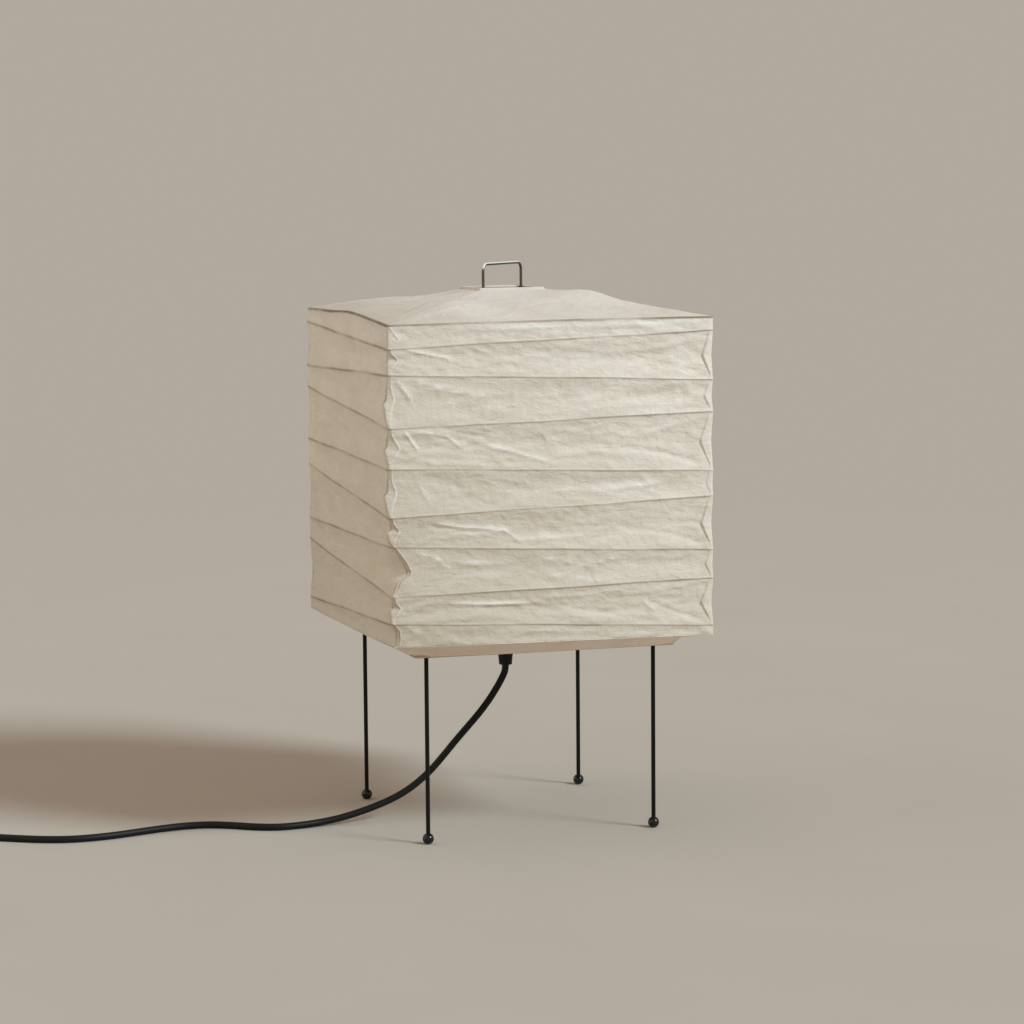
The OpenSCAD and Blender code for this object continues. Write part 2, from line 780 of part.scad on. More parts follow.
module cord_tail() {
    color("#181818") translate([0, tail_y, 0]) tube(TAIL, cord_r, 8);
}

// Coil: the turns spiral in on the floor, climb in the half turn where they reverse, and spiral out
function coil_point(t) =
    let (
        r = coil_r + coil_step * abs(t - coil_turns / 2),
        angle = 90 + 360 * t,
        climb = min(1, max(0, (t - coil_turns / 2) * 2 + 0.5))
    )
    [coil_start.x + r * cos(angle), coil_y + r * sin(angle), coil_start.z + coil_rise * climb];
coil_path = [
    coil_start + [coil_lead, 0, 0],
    for (i = [0 : coil_turns * coil_rings]) coil_point(i / coil_rings),
    coil_point(coil_turns) + [coil_lead, 0, 0]
];

module cord_coil() {
    color("#181818") tube(coil_path, cord_r, 6);
}

// Least distance between two places on the coil that are more than a third of a turn apart
coil_gap = min([
    for (i = [0 : len(coil_path) - 1], j = [i + coil_rings / 3 : 1 : len(coil_path) - 1])
        norm(coil_path[i] - coil_path[j])
]) - cord_d;
echo(least_gap_between_the_turns_of_the_coil = coil_gap);

function path_length(p) = let (steps = [for (i = [1 : len(p) - 1]) norm(p[i] - p[i - 1])]) steps * [for (l = steps) 1];
echo(length_of_the_cord = path_length(CORD) + path_length(coil_path) + path_length(TAIL) + relief_l);

// Strap round the coil's turns on the side away from the lamp, where the two layers lie in line
module coil_tie() {
    far_turns = coil_turns / 2 - 0.25;
    near_turns = far_turns - floor(far_turns);
    middle = coil_r + coil_step * (far_turns + near_turns) / 2;
    inner_w = coil_step * (far_turns - near_turns) + cord_d + 2 * tie_side;
    inner_h = TAIL[0].z + cord_r + tie_gap - tie_t;
    color("#2a2a2a") translate([coil_start.x - middle, coil_y + tie_w / 2, 0]) rotate([90, 0, 0])
        linear_extrude(tie_w) difference() {
            translate([-inner_w / 2 - tie_t, 0]) square([inner_w + 2 * tie_t, inner_h + 2 * tie_t]);
            translate([-inner_w / 2, tie_t]) square([inner_w, inner_h]);
        }
}

// Switch: two halves that clamp the cord, two screws, and a rocker on two trunnions

module cord_way() {
    translate([-switch_l, 0, axis_z]) rotate([0, 90, 0]) cylinder(r = cord_r + cord_gap, h = 2 * switch_l);
}

module at_switch() {
    translate([SWITCH.x, SWITCH.y, 0]) children();
}

module at_screws() {
    for (m = [-1, 1]) translate([m * screw_x, m * screw_y, 0]) children();
}

module switch_inside(h) {
    rounded_plate(switch_l - 2 * switch_wall, switch_w - 2 * switch_wall, switch_corner - switch_wall, h);
}

module switch_base() {
    color("#161616") at_switch() difference() {
        union() {
            difference() {
                rounded_plate(switch_l, switch_w, switch_corner, axis_z);
                translate([0, 0, switch_wall]) switch_inside(axis_z);
            }
            at_screws() cylinder(d = post_d, h = axis_z);
        }
        cord_way();
        at_screws() {
            translate([0, 0, -1]) cylinder(d = screw_d + 2 * slip, h = axis_z + 2);
            translate([0, 0, -1]) cylinder(d = screw_head_d + 2 * slip, h = 3);
        }
    }
}

module switch_cover() {
    depth = switch_h - axis_z;
    lug_t = 1.5;
    slot_l = rocker_l + 3;
    slot_w = rocker_w + 1;
    bearing_w = slot_w + 2 * lug_t + 1;
    color("#161616") at_switch() difference() {
        union() {
            translate([0, 0, axis_z]) difference() {
                rounded_plate(switch_l, switch_w, switch_corner, depth);
                translate([0, 0, -switch_wall]) switch_inside(depth);
                translate([-slot_l / 2, -slot_w / 2, 0]) cube([slot_l, slot_w, 2 * depth]);
            }
            at_screws() translate([0, 0, axis_z]) cylinder(d = post_d, h = depth - switch_wall / 2);
            for (m = [-1, 1]) translate([-3, m * (slot_w + lug_t) / 2 - lug_t / 2, pivot_z - 3])
                cube([6, lug_t, switch_h - switch_wall / 2 - pivot_z + 3]);
        }
        cord_way();
        at_screws() translate([0, 0, axis_z - 1]) cylinder(d = screw_d + 2 * fit_gap, h = 6);
        translate([0, bearing_w / 2, pivot_z]) rotate([90, 0, 0])
            cylinder(d = trunnion_d + 2 * fit_gap, h = bearing_w);
    }
}

module switch_rocker() {
    l = rocker_l / 2;
    rise = 2.4;
    end_rise = rise + l * tan(rocker_tilt);
    color("#0e0e0e") at_switch() translate([0, 0, pivot_z]) rotate([0, rocker_tilt, 0]) {
        rotate([90, 0, 0]) linear_extrude(rocker_w, center = true)
            polygon([[-l, -2], [l, -2], [l, end_rise], [0, rise], [-l, end_rise]]);
        translate([0, rocker_w / 2 + 1.5, 0]) rotate([90, 0, 0]) cylinder(d = trunnion_d, h = rocker_w + 3);
    }
}

module switch_screws() {
    color("gray") at_switch() at_screws() {
        translate([0, 0, 1.9]) cylinder(d = screw_d, h = 8);
        translate([0, 0, 0.4]) cylinder(d = screw_head_d, h = 1.5);
    }
}

// Plug: moulded body with a tapered relief, and two flat blades

module plug_body() {
    color("#161616") translate(plug_at) difference() {
        union() {
            rotate([0, 90, 0]) cylinder(r1 = cord_r + 1, r2 = axis_z - 1, h = relief_l);
            translate([relief_l + plug_l / 2, 0, -axis_z]) rounded_plate(plug_l, plug_w, plug_corner, 2 * axis_z);
        }
        for (m = [-1, 1]) translate([relief_l + plug_l, m * blade_gap / 2, 0])
            cube([2 * blade_root, blade_t + 2 * fit_gap, blade_w + 2 * fit_gap], center = true);
    }
}

module plug_blades() {
    color("gold") translate(plug_at + [relief_l + plug_l, 0, 0]) for (m = [-1, 1])
        translate([0, m * blade_gap / 2, 0]) difference() {
            translate([fit_gap - blade_root, -blade_t / 2, -blade_w / 2])
                cube([blade_l + blade_root - fit_gap, blade_t, blade_w]);
            translate([blade_l - 4, blade_t, 0]) rotate([90, 0, 0]) cylinder(d = 3, h = 2 * blade_t);
        }
}

leg(0);  // leg_front_left
leg(1);  // leg_front_right
leg(2);  // leg_back_right
leg(3);  // leg_back_left
foot(0);  // foot_front_left
foot(1);  // foot_front_right
foot(2);  // foot_back_right
foot(3);  // foot_back_left
leg_sockets();
leg_grub_screws();
frame_side_rods();
frame_cross_rods();
hub_plate();
stretcher_sockets();
stretcher_handle();
threaded_tube();
lower_nut();
spring_washer();
upper_nut();
cord_gland();
holder_cap();
terminal_block();
terminal_screws();
centre_contact();
screw_shell();
holder_sleeve();
cord_inner_end();
core_wires();
bulb_contact();
bulb_insulator();
bulb_base();
bulb_glass();
bulb_filament();
collar_wire();
top_rim_wire();
roof_paper();
wall_paper();
rib(1);  // rib_1
rib(2);  // rib_2
rib(3);  // rib_3
rib(4);  // rib_4
rib(5);  // rib_5
rib(6);  // rib_6
rib(7);  // rib_7
rib(8);  // rib_8
bottom_rim_wire();
hem_paper();
hem_wire();
cord();
cord_coil();
cord_tail();
coil_tie();
switch_base();
switch_cover();
switch_rocker();
switch_screws();
plug_body();
plug_blades();
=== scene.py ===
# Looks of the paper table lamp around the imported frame. Sizes are in millimetres, and MM turns
# them into metres. Sides are front, right, back and left, in that order, and corner s is the
# first end of side s: near, right, far and left.
import json
import math

import bpy
import numpy as np
from mathutils import Matrix, Vector, noise
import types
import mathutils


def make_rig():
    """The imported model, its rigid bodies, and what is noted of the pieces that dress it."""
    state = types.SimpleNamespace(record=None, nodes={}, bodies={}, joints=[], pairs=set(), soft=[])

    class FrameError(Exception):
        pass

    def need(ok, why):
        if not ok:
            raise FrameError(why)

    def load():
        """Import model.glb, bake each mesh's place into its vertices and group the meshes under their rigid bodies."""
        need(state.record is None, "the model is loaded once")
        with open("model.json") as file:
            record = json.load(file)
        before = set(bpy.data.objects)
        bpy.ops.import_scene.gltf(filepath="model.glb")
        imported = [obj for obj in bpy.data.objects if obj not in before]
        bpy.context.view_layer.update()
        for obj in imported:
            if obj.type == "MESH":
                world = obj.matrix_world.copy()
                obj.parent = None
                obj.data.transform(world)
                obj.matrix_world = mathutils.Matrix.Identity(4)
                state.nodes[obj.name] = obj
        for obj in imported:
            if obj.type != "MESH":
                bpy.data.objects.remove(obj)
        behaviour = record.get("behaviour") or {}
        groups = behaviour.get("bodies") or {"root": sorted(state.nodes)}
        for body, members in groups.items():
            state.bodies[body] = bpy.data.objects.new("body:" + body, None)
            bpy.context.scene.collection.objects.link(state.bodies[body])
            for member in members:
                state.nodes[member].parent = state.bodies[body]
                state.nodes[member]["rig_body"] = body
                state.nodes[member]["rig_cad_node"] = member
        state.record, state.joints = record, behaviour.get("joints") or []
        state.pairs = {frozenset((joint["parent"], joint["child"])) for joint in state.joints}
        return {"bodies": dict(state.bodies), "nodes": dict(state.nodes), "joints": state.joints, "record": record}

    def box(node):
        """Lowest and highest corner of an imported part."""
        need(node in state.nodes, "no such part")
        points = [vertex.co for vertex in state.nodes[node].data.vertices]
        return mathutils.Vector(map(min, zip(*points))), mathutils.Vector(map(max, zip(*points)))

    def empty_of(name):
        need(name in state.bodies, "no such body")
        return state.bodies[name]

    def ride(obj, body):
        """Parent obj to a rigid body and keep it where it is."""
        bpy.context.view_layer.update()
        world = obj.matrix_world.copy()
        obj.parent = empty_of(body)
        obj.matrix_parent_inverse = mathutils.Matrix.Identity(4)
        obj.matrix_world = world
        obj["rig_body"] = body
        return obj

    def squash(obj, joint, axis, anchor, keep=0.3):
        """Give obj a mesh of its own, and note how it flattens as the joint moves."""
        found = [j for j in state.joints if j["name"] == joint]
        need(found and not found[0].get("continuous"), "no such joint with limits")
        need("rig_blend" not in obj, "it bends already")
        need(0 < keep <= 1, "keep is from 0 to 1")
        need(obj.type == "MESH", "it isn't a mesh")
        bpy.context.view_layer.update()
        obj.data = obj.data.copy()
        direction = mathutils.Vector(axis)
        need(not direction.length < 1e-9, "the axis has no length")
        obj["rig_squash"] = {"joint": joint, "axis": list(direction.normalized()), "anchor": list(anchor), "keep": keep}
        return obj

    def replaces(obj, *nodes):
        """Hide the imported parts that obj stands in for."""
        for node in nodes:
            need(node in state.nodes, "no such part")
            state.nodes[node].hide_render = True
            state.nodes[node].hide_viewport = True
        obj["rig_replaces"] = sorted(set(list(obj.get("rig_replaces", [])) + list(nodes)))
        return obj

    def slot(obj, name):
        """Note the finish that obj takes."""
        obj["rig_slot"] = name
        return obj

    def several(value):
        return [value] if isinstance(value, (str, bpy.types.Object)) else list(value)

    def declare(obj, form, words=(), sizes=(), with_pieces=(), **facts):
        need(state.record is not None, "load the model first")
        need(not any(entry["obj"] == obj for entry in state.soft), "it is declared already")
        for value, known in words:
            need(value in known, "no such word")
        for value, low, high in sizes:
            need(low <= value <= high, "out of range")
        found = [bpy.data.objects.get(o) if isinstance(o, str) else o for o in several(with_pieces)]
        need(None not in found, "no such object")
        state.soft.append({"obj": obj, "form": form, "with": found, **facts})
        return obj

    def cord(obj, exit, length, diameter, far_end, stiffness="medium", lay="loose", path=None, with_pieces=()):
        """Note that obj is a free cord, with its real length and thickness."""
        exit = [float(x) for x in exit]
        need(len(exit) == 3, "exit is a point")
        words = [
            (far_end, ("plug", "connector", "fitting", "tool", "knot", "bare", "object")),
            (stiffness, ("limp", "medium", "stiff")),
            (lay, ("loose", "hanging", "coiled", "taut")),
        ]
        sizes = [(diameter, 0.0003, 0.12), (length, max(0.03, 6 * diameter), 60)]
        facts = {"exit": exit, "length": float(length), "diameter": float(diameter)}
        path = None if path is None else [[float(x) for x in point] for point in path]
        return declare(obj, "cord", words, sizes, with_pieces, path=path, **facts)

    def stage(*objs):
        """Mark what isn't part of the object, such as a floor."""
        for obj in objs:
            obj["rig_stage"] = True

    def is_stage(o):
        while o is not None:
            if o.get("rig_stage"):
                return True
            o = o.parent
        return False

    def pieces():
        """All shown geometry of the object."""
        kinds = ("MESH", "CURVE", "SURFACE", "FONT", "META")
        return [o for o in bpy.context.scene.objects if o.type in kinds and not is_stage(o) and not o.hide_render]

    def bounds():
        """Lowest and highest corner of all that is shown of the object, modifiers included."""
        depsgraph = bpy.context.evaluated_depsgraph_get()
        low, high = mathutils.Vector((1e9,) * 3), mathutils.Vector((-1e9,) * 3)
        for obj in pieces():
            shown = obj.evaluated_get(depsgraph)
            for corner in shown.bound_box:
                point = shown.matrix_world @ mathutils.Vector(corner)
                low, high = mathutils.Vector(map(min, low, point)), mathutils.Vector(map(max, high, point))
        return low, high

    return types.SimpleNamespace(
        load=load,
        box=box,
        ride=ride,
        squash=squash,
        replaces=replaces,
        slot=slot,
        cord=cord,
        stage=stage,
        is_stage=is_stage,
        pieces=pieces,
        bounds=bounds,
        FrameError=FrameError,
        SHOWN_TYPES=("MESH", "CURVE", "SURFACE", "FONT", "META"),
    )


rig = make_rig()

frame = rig.load()
cad_lo, cad_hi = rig.bounds()
MM = 0.001
NODES = frame["nodes"]
rng = np.random.default_rng(11)


def placed(name, data):
    """A new object of that data, linked to the scene."""
    obj = bpy.data.objects.new(name, data)
    bpy.context.scene.collection.objects.link(obj)
    return obj


# Camera

PICTURE = 1024
FOCAL = 3118
SENSOR = 36
YAW, PITCH, ROLL = 17.43, 6.24, -0.48
DISTANCE = 2246
AIM = (5.6, 220.2)


def camera():
    yaw, pitch, roll = (math.radians(x) for x in (YAW, PITCH, ROLL))
    forward = Vector((math.sin(yaw) * math.cos(pitch), math.cos(yaw) * math.cos(pitch), -math.sin(pitch)))
    level = forward.cross(Vector((0, 0, 1))).normalized()
    rise = level.cross(forward)
    right = math.cos(roll) * level + math.sin(roll) * rise
    up = right.cross(forward)
    place = Vector((0, 0, AIM[1])) + AIM[0] * right - DISTANCE * forward
    data = bpy.data.cameras.new("camera")
    data.sensor_width = SENSOR
    data.lens = FOCAL / PICTURE * SENSOR
    data.clip_start, data.clip_end = 0.01, 100
    cam = placed("camera", data)
    turn = Matrix((right, up, -forward)).transposed()
    cam.matrix_world = Matrix.Translation(place * MM) @ turn.to_4x4()
    bpy.context.scene.camera = cam


camera()


# Meshes

def mesh_object(name, points, faces):
    """A new mesh object from points in millimetres."""
    mesh = bpy.data.meshes.new(name)
    mesh.from_pydata((np.asarray(points, float) * MM).tolist(), [], faces)
    mesh.polygons.foreach_set("use_smooth", [True] * len(mesh.polygons))
    mesh.update()
    return placed(name, mesh)


def through(points, steps):
    """A smooth line through the points, with that many steps between two of them."""
    p = np.asarray(points, float)
    ends = np.vstack([2 * p[0] - p[1], p, 2 * p[-1] - p[-2]])
    t = np.linspace(0, 1, steps, endpoint=False)[:, None]
    parts = []
    for a, b, c, d in zip(ends, ends[1:], ends[2:], ends[3:]):
        parts.append(b + 0.5 * t * (c - a + t * (2 * a - 5 * b + 4 * c - d + t * (3 * (b - c) + d - a))))
    return np.vstack(parts + [p[-1:]])


def line_object(name, points, radius):
    """A round tube along a line, as a curve of one spline.

    Its points hold its radius, and the bevel only multiplies it, because a curve's bounds grow by
    the radius of its points.
    """
    curve = bpy.data.curves.new(name, "CURVE")
    curve.dimensions = "3D"
    curve.bevel_depth = 1
    curve.bevel_resolution = 5
    curve.use_fill_caps = True
    spline = curve.splines.new("POLY")
    spline.points.add(len(points) - 1)
    for knot, p in zip(spline.points, points):
        knot.co = (p[0] * MM, p[1] * MM, p[2] * MM, 1)
        knot.radius = radius * MM
    spline.use_smooth = True
    return placed(name, curve)


# Cord

CORD_D = 5
CORD_LENGTH = 1.8
CORD = [
    (0, 0, 109.5), (-0.6, 0, 104.5), (-3.1, 0, 99), (-7.3, 0, 92), (-13.2, 0, 83.5), (-20.6, 0, 74.5),
    (-29, 0, 65.5), (-38, 0, 56), (-47, 0, 46), (-55.5, 0, 37), (-64, 0, 29.5), (-74, 0, 22.5),
    (-87, 0, 16), (-104, 0, 10.2), (-122, 0, 5.6), (-139, 0, 3), (-155, -3, 2.5), (-171, -4, 2.5),
    (-186, 2, 2.5), (-200, 12, 2.5), (-215, 20, 2.5), (-232, 22, 2.5), (-250, 19, 2.5),
    (-268, 13.5, 2.5), (-286, 8, 2.5), (-304, 5, 2.5), (-321, 6, 2.5), (-338, 12, 2.5),
    (-352, 20, 2.5), (-366, 29, 2.5), (-380, 36.5, 3.4), (-394, 41, 5.3), (-406, 42, 6.5),
    (-440, 42, 6.5), (-474, 42, 6.5), (-480, 42, 6), (-487, 42, 4.9), (-493, 42, 3.8), (-498, 42, 3.3),
    (-503, 42, 3.3),
]
TAIL = [(-503, 8.8), (-498, 8.8), (-492, 7.8), (-485, 6.5), (-478, 6.5)]
COIL_TURNS, COIL_R, COIL_STEP, COIL_LEAD = 6.5, 20.5, 5.45, 5
COIL_POINTS = 48
ON_CORD = ["coil_tie", "switch_base", "switch_cover", "switch_rocker", "switch_screws", "plug_body",
           "plug_blades"]


def coil_line():
    """The coil's turns: in on the floor, up where they reverse, and out again on top."""
    out = COIL_R + COIL_STEP * COIL_TURNS / 2
    x, y, low = CORD[-1][0] - COIL_LEAD, CORD[-1][1] - out, CORD[-1][2]
    t = np.arange(0, COIL_TURNS + 1e-9, 1 / COIL_POINTS)
    r = COIL_R + COIL_STEP * abs(t - COIL_TURNS / 2)
    angle = np.radians(90 + 360 * t)
    climb = np.clip((t - COIL_TURNS / 2) * 2 + 0.5, 0, 1)
    climb = climb * climb * (3 - 2 * climb)
    return np.stack([x + r * np.cos(angle), y + r * np.sin(angle), low + (TAIL[0][1] - low) * climb], 1)


def cord():
    coil = coil_line()
    tail = [(x, coil[-1][1], z) for x, z in TAIL]
    line = np.vstack([through(CORD, 4), coil, through(tail, 4)])
    obj = line_object("mains_cord", line, CORD_D / 2)
    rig.ride(obj, "base")
    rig.replaces(obj, "cord", "cord_coil", "cord_tail")
    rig.slot(obj, "cord_black")
    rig.cord(obj, exit=Vector(CORD[0]) * MM, length=CORD_LENGTH, diameter=CORD_D * MM, far_end="plug",
            stiffness="medium", lay="loose", with_pieces=[NODES[n] for n in ON_CORD])


cord()


# Shade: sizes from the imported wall, and the heights of the eight ribs at the four corners

def box_mm(node):
    """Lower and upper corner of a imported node, in millimetres."""
    return (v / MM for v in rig.box(node))


wall_lo, wall_hi = box_mm("wall_paper")
HALF, RIM_Z, TOP_Z = wall_hi.x, wall_lo.z, wall_hi.z
WALL_H = TOP_Z - RIM_Z
RIBS = [
    [0.924, 0.96, 0.95, 0.965],
    [0.846, 0.805, 0.79, 0.82],
    [0.683, 0.705, 0.73, 0.75],
    [0.56, 0.52, 0.535, 0.575],
    [0.41, 0.44, 0.47, 0.49],
    [0.32, 0.27, 0.26, 0.31],
    [0.167, 0.18, 0.21, 0.24],
    [0.085, 0.03, 0.035, 0.04],
]
LEVELS = [[0.996, 1, 1, 1.0075]] + RIBS + [[0.0115, 0, 0, 0]]
PANELS = len(LEVELS) - 1
ALONG = np.array([[1, 0], [0, 1], [-1, 0], [0, -1]], float)
INWARD = np.array([[0, 1], [-1, 0], [0, -1], [1, 0]], float)
FRONT, RIGHT, BACK, LEFT = range(4)
CORNER_R = 1.8
PAPER_T = 0.4
SKIN_GAP = 0.65
RIB_D = 1.2
RIM_BOW = [0.6, 0.5, 0.8]
LEFT_BOW = [(0, 0), (0.17, 1.3), (0.33, 2.1), (0.46, 3.5), (0.55, 4.1), (0.65, 3.5), (0.78, 2.3),
            (0.9, 1.1), (1, 0)]
RIB_WAVE = 0.3
wave_phase = rng.uniform(0, 2 * math.pi, (PANELS + 1, 4, 2))


def level_z(k, s, a):
    """Height of level k on side s at a along it: level 0 is the top rim, the last one the bottom rim."""
    u = np.clip((a + HALF) / (2 * HALF), 0, 1)
    z = RIM_Z + WALL_H * ((1 - u) * LEVELS[k][s] + u * LEVELS[k][(s + 1) % 4])
    held = 4 * u * (1 - u)
    if k == 0:
        return z + (np.interp(u, *zip(*LEFT_BOW)) if s == LEFT else RIM_BOW[s] * held)
    if k == PANELS:
        return z
    p = wave_phase[k][s]
    return z + RIB_WAVE * held * (np.sin(2 * math.pi * u + p[0]) + 0.6 * np.sin(5 * math.pi * u + p[1]))


# Near corner, by panel from the top down: how far the crest of its fold reaches along the front,
# the share of the panel's height where it turns back, and how high it stands. Then the corner's
# own line, as shares of the height and how far it moves to the right there.
NEAR_CRESTS = [
    (8.6, 0.6, 0.5), (7.6, 0.42, 0.6), (4.8, 0.45, 0.5), (8.2, 0.5, 0.6), (5.8, 0.5, 0.5),
    (6.4, 0.45, 0.6), (3.0, 0.56, 0.5), (6.8, 0.45, 0.6), (3.0, 0.35, 0.4),
]
NEAR_EDGES = [
    [(0, 0), (0.5, 0.4), (1, 0)],
    [(0, 0), (0.35, 0.8), (0.7, -0.4), (1, 0)],
    [(0, 0), (0.45, -0.6), (0.53, -3.0), (0.85, -2.2), (1, 0)],
    [(0, 0), (0.46, -0.8), (0.54, -2.6), (1, 0)],
    [(0, 0), (0.46, -0.6), (0.55, -3.3), (0.85, -2.0), (1, 0)],
    [(0, 0), (0.4, 0.8), (0.52, -2.6), (0.8, -2.4), (1, 0)],
    [(0, 0), (0.3, 8), (0.56, 12.5), (0.66, 5), (1, 0)],
    [(0, 0), (0.4, 1.6), (0.52, -0.8), (0.85, -0.6), (1, 0)],
    [(0, 0), (0.3, 3.4), (0.8, 3.0), (1, 1)],
]
# Folds at the other corners, by panel: how far the corner dents in, how far the fold stands from
# the corner, and how deep the fold's edge and the paper behind it lie
LEFT_FOLDS = [
    (0.3, 6, 0, 0.3), (1.9, 7, 0.2, 0.9), (0.6, 5, 0.1, 0.4), (2.1, 8, 0.2, 1.0), (0.2, 5, 0.1, 0.4),
    (1.6, 7, 0.2, 0.9), (0.4, 5, 0.1, 0.4), (1.9, 8, 0.2, 1.0), (0.3, 4, 0.1, 0.3),
]
RIGHT_FOLDS = [
    (0.2, 5, 0.1, 0.4), (0.9, 7.6, 0.3, 1.9), (0.8, 6.8, 0.4, 1.3), (1.0, 9.4, 0.5, 1.7),
    (0.4, 5, 0.2, 1.2), (1.0, 8.8, 0.4, 1.9), (0.5, 5.8, 0.3, 1.4), (1.0, 9.2, 0.4, 1.8),
    (0.2, 4, 0.1, 0.4),
]
# Depth of a panel between its ribs: at most, by slope, its share at each side's two ends, how far
# it wanders, where its deepest line lies, and how much of it is round
FOLD_DEPTH = 2.4
FOLD_SLOPE = 0.21
FOLD_SHARE = [(0.55, 1), (1, 1), (1, 0.8), (0.8, 0.6)]
WANDER, WANDER_LONG = 0.35, 45
FOLD_AT, FOLD_AT_WANDER = 0.47, 0.12
BOWL_ROUND = 0.35
# A corner's fold: how far out it stands at the panel's top and bottom and at least, and the width
# of its step at least and what is added in the middle
FOLD_REST, LEAST_REACH = (3.2, 0.5), 0.3
LEAST_STEP, STEP_WIDE = 0.2, 0.45
# The near corner's crest: its width, how much of the panel's depth stays there, how far it keeps
# from the corner, and how it fades
CREST_WIDE, CREST_HOLD, CREST_OUT = 0.7, 0.75, 0.6
CREST_FADE = [0.6, 1, 1, 0.5, 0.2]
# Share of the panel's depth at the corner itself, above and below its turn, how fast it turns, and
# from which shift on it is pulled, and dented by a share of it
EDGE_HOLD, EDGE_TURN, EDGE_PULLED, PULLED_DENT = (1.25, 0.35), 0.16, 2, 0.05
# Length over which the panel's own depth comes back, and the columns from the corner to the fold
FOLD_FADE = 20
FOLD_STEPS = np.array([0, 0.3, 0.65, 1])
FOLD_COLS = len(FOLD_STEPS) + 1
NEAR = 0


def random_folds(most):
    """Folds for a corner that the photograph doesn't show, with dents of up to that depth."""
    return [(rng.uniform(0.3, 1) * most, rng.uniform(5, 11), rng.uniform(0, 0.5), rng.uniform(0.5, 2.4))
            for _ in range(PANELS)]


FOLDS = [None, RIGHT_FOLDS, random_folds(2.0), LEFT_FOLDS]


# Creases of the front as photographed: panel, height, width, and points of distance from the near
# corner and share of the panel's height from its top. A negative height is a valley.
FRONT_CREASES = [
    (0, -0.7, 1.1, [(2, 0.13), (120, 0.16), (231, 0.2)]),
    (0, -0.7, 1.6, [(3, 0.15), (16, 0.5), (34, 0.62)]),
    (0, 0.5, 1.6, [(120, 0.45), (168, 0.35), (222, 0.55)]),
    (1, 0.9, 1.5, [(12, 0.03), (28, 0.25), (46, 0.45)]),
    (1, -0.5, 1.8, [(78, 0.35), (118, 0.3), (150, 0.45)]),
    (1, -0.9, 1.5, [(226, 0.89), (190, 0.62), (168, 0.44)]),
    (1, 0.6, 2.0, [(222, 0.12), (196, 0.3), (150, 0.42)]),
    (2, 1.0, 1.4, [(5, 0.05), (20, 0.58)]), (2, 1.0, 1.7, [(8, 0.04), (40, 0.25), (66, 0.38), (76, 0.56)]),
    (2, 0.6, 1.3, [(40, 0.45), (47, 0.68)]), (2, -0.6, 1.6, [(118, 0.35), (127, 0.55)]),
    (2, 0.6, 2.2, [(215, 0.1), (160, 0.45), (118, 0.62)]),
    (2, 0.6, 1.8, [(226, 0.75), (170, 0.68), (120, 0.8)]),
    (3, 0.9, 1.4, [(10, 0.04), (22, 0.6)]), (3, 0.8, 1.5, [(12, 0.04), (40, 0.22), (55, 0.62)]),
    (3, -0.9, 1.6, [(34, 0.04), (72, 0.33)]), (3, 1.0, 1.7, [(64, 0.42), (100, 0.72), (118, 0.85)]),
    (3, -1.0, 1.6, [(228, 0.92), (200, 0.72), (160, 0.53)]),
    (3, 0.7, 1.8, [(224, 0.08), (190, 0.3), (150, 0.4)]),
    (4, -0.9, 1.7, [(18, 0.15), (44, 0.33), (58, 0.55)]), (4, 0.7, 1.6, [(20, 0.3), (30, 0.75)]),
    (4, 0.6, 2.0, [(100, 0.5), (150, 0.62), (200, 0.4)]),
    (5, 0.9, 1.5, [(30, 0.25), (52, 0.4), (80, 0.5), (96, 0.9)]),
    (5, -0.7, 1.5, [(26, 0.35), (50, 0.5), (66, 0.6)]),
    (5, -0.9, 1.7, [(229, 0.92), (200, 0.68), (160, 0.52)]), (5, 0.5, 2.0, [(120, 0.3), (150, 0.45)]),
    (6, 0.9, 1.7, [(9, 0.02), (36, 0.27), (70, 0.35), (96, 0.4)]), (6, 0.6, 1.5, [(24, 0.35), (44, 0.42)]),
    (6, -0.9, 1.4, [(136, 0.45), (145, 0.85)]), (6, 0.7, 1.6, [(100, 0.16), (138, 0.4)]),
    (6, 0.6, 1.7, [(104, 0.62), (140, 0.8), (160, 0.95)]),
    (7, 0.9, 1.5, [(36, 0.12), (42, 0.3), (70, 0.36), (112, 0.42)]),
    (7, -0.9, 1.6, [(228, 0.93), (206, 0.72), (186, 0.5)]),
    (7, -0.7, 2.0, [(200, 0.95), (150, 0.7), (112, 0.45)]), (7, 0.8, 1.3, [(180, 0.45), (190, 0.68)]),
    (7, 0.6, 1.8, [(222, 0.08), (190, 0.22), (158, 0.25)]),
    (8, 0.6, 1.5, [(9, 0.1), (22, 0.4)]), (8, 0.6, 1.6, [(60, 0.65), (110, 0.35), (150, 0.5)]),
]
CREASE_HIGH, CREASE_WIDE = 1.2, 0.8
LONG_CREASES = [8, 7, 6, 2]
FAN_CREASES = [0, 3, 3, 1]


def side_creases(s):
    """Creases of side s: those photographed, fans from the corners, and long ones along the panel."""
    found = list(FRONT_CREASES) if s == FRONT else []
    for k in range(PANELS):
        for _ in range(FAN_CREASES[s]):
            start, far = rng.uniform(1, 12), rng.uniform(18, 60)
            x = [start, start + far * 0.55, start + far]
            v = [0.05, rng.uniform(0.25, 0.45), rng.uniform(0.5, 0.8)]
            if rng.random() < 0.5:
                x = [2 * HALF - d for d in x]
            if rng.random() < 0.5:
                v = [1 - w for w in v]
            height = rng.choice([-1, 1]) * rng.uniform(0.5, 0.9)
            found.append((k, height, rng.uniform(1.6, 2.4), list(zip(x, v))))
        for _ in range(LONG_CREASES[s]):
            x0, long, v0 = rng.uniform(15, 150), rng.uniform(25, 80), rng.uniform(0.2, 0.8)
            v1 = np.clip(v0 + rng.normal(0, 0.2), 0.12, 0.88)
            middle = (v0 + v1) / 2 + rng.normal(0, 0.05)
            found.append((k, rng.normal(0, 0.45), rng.uniform(1.2, 2.0),
                          [(x0, v0), (x0 + long / 2, middle), (x0 + long, v1)]))
    return found


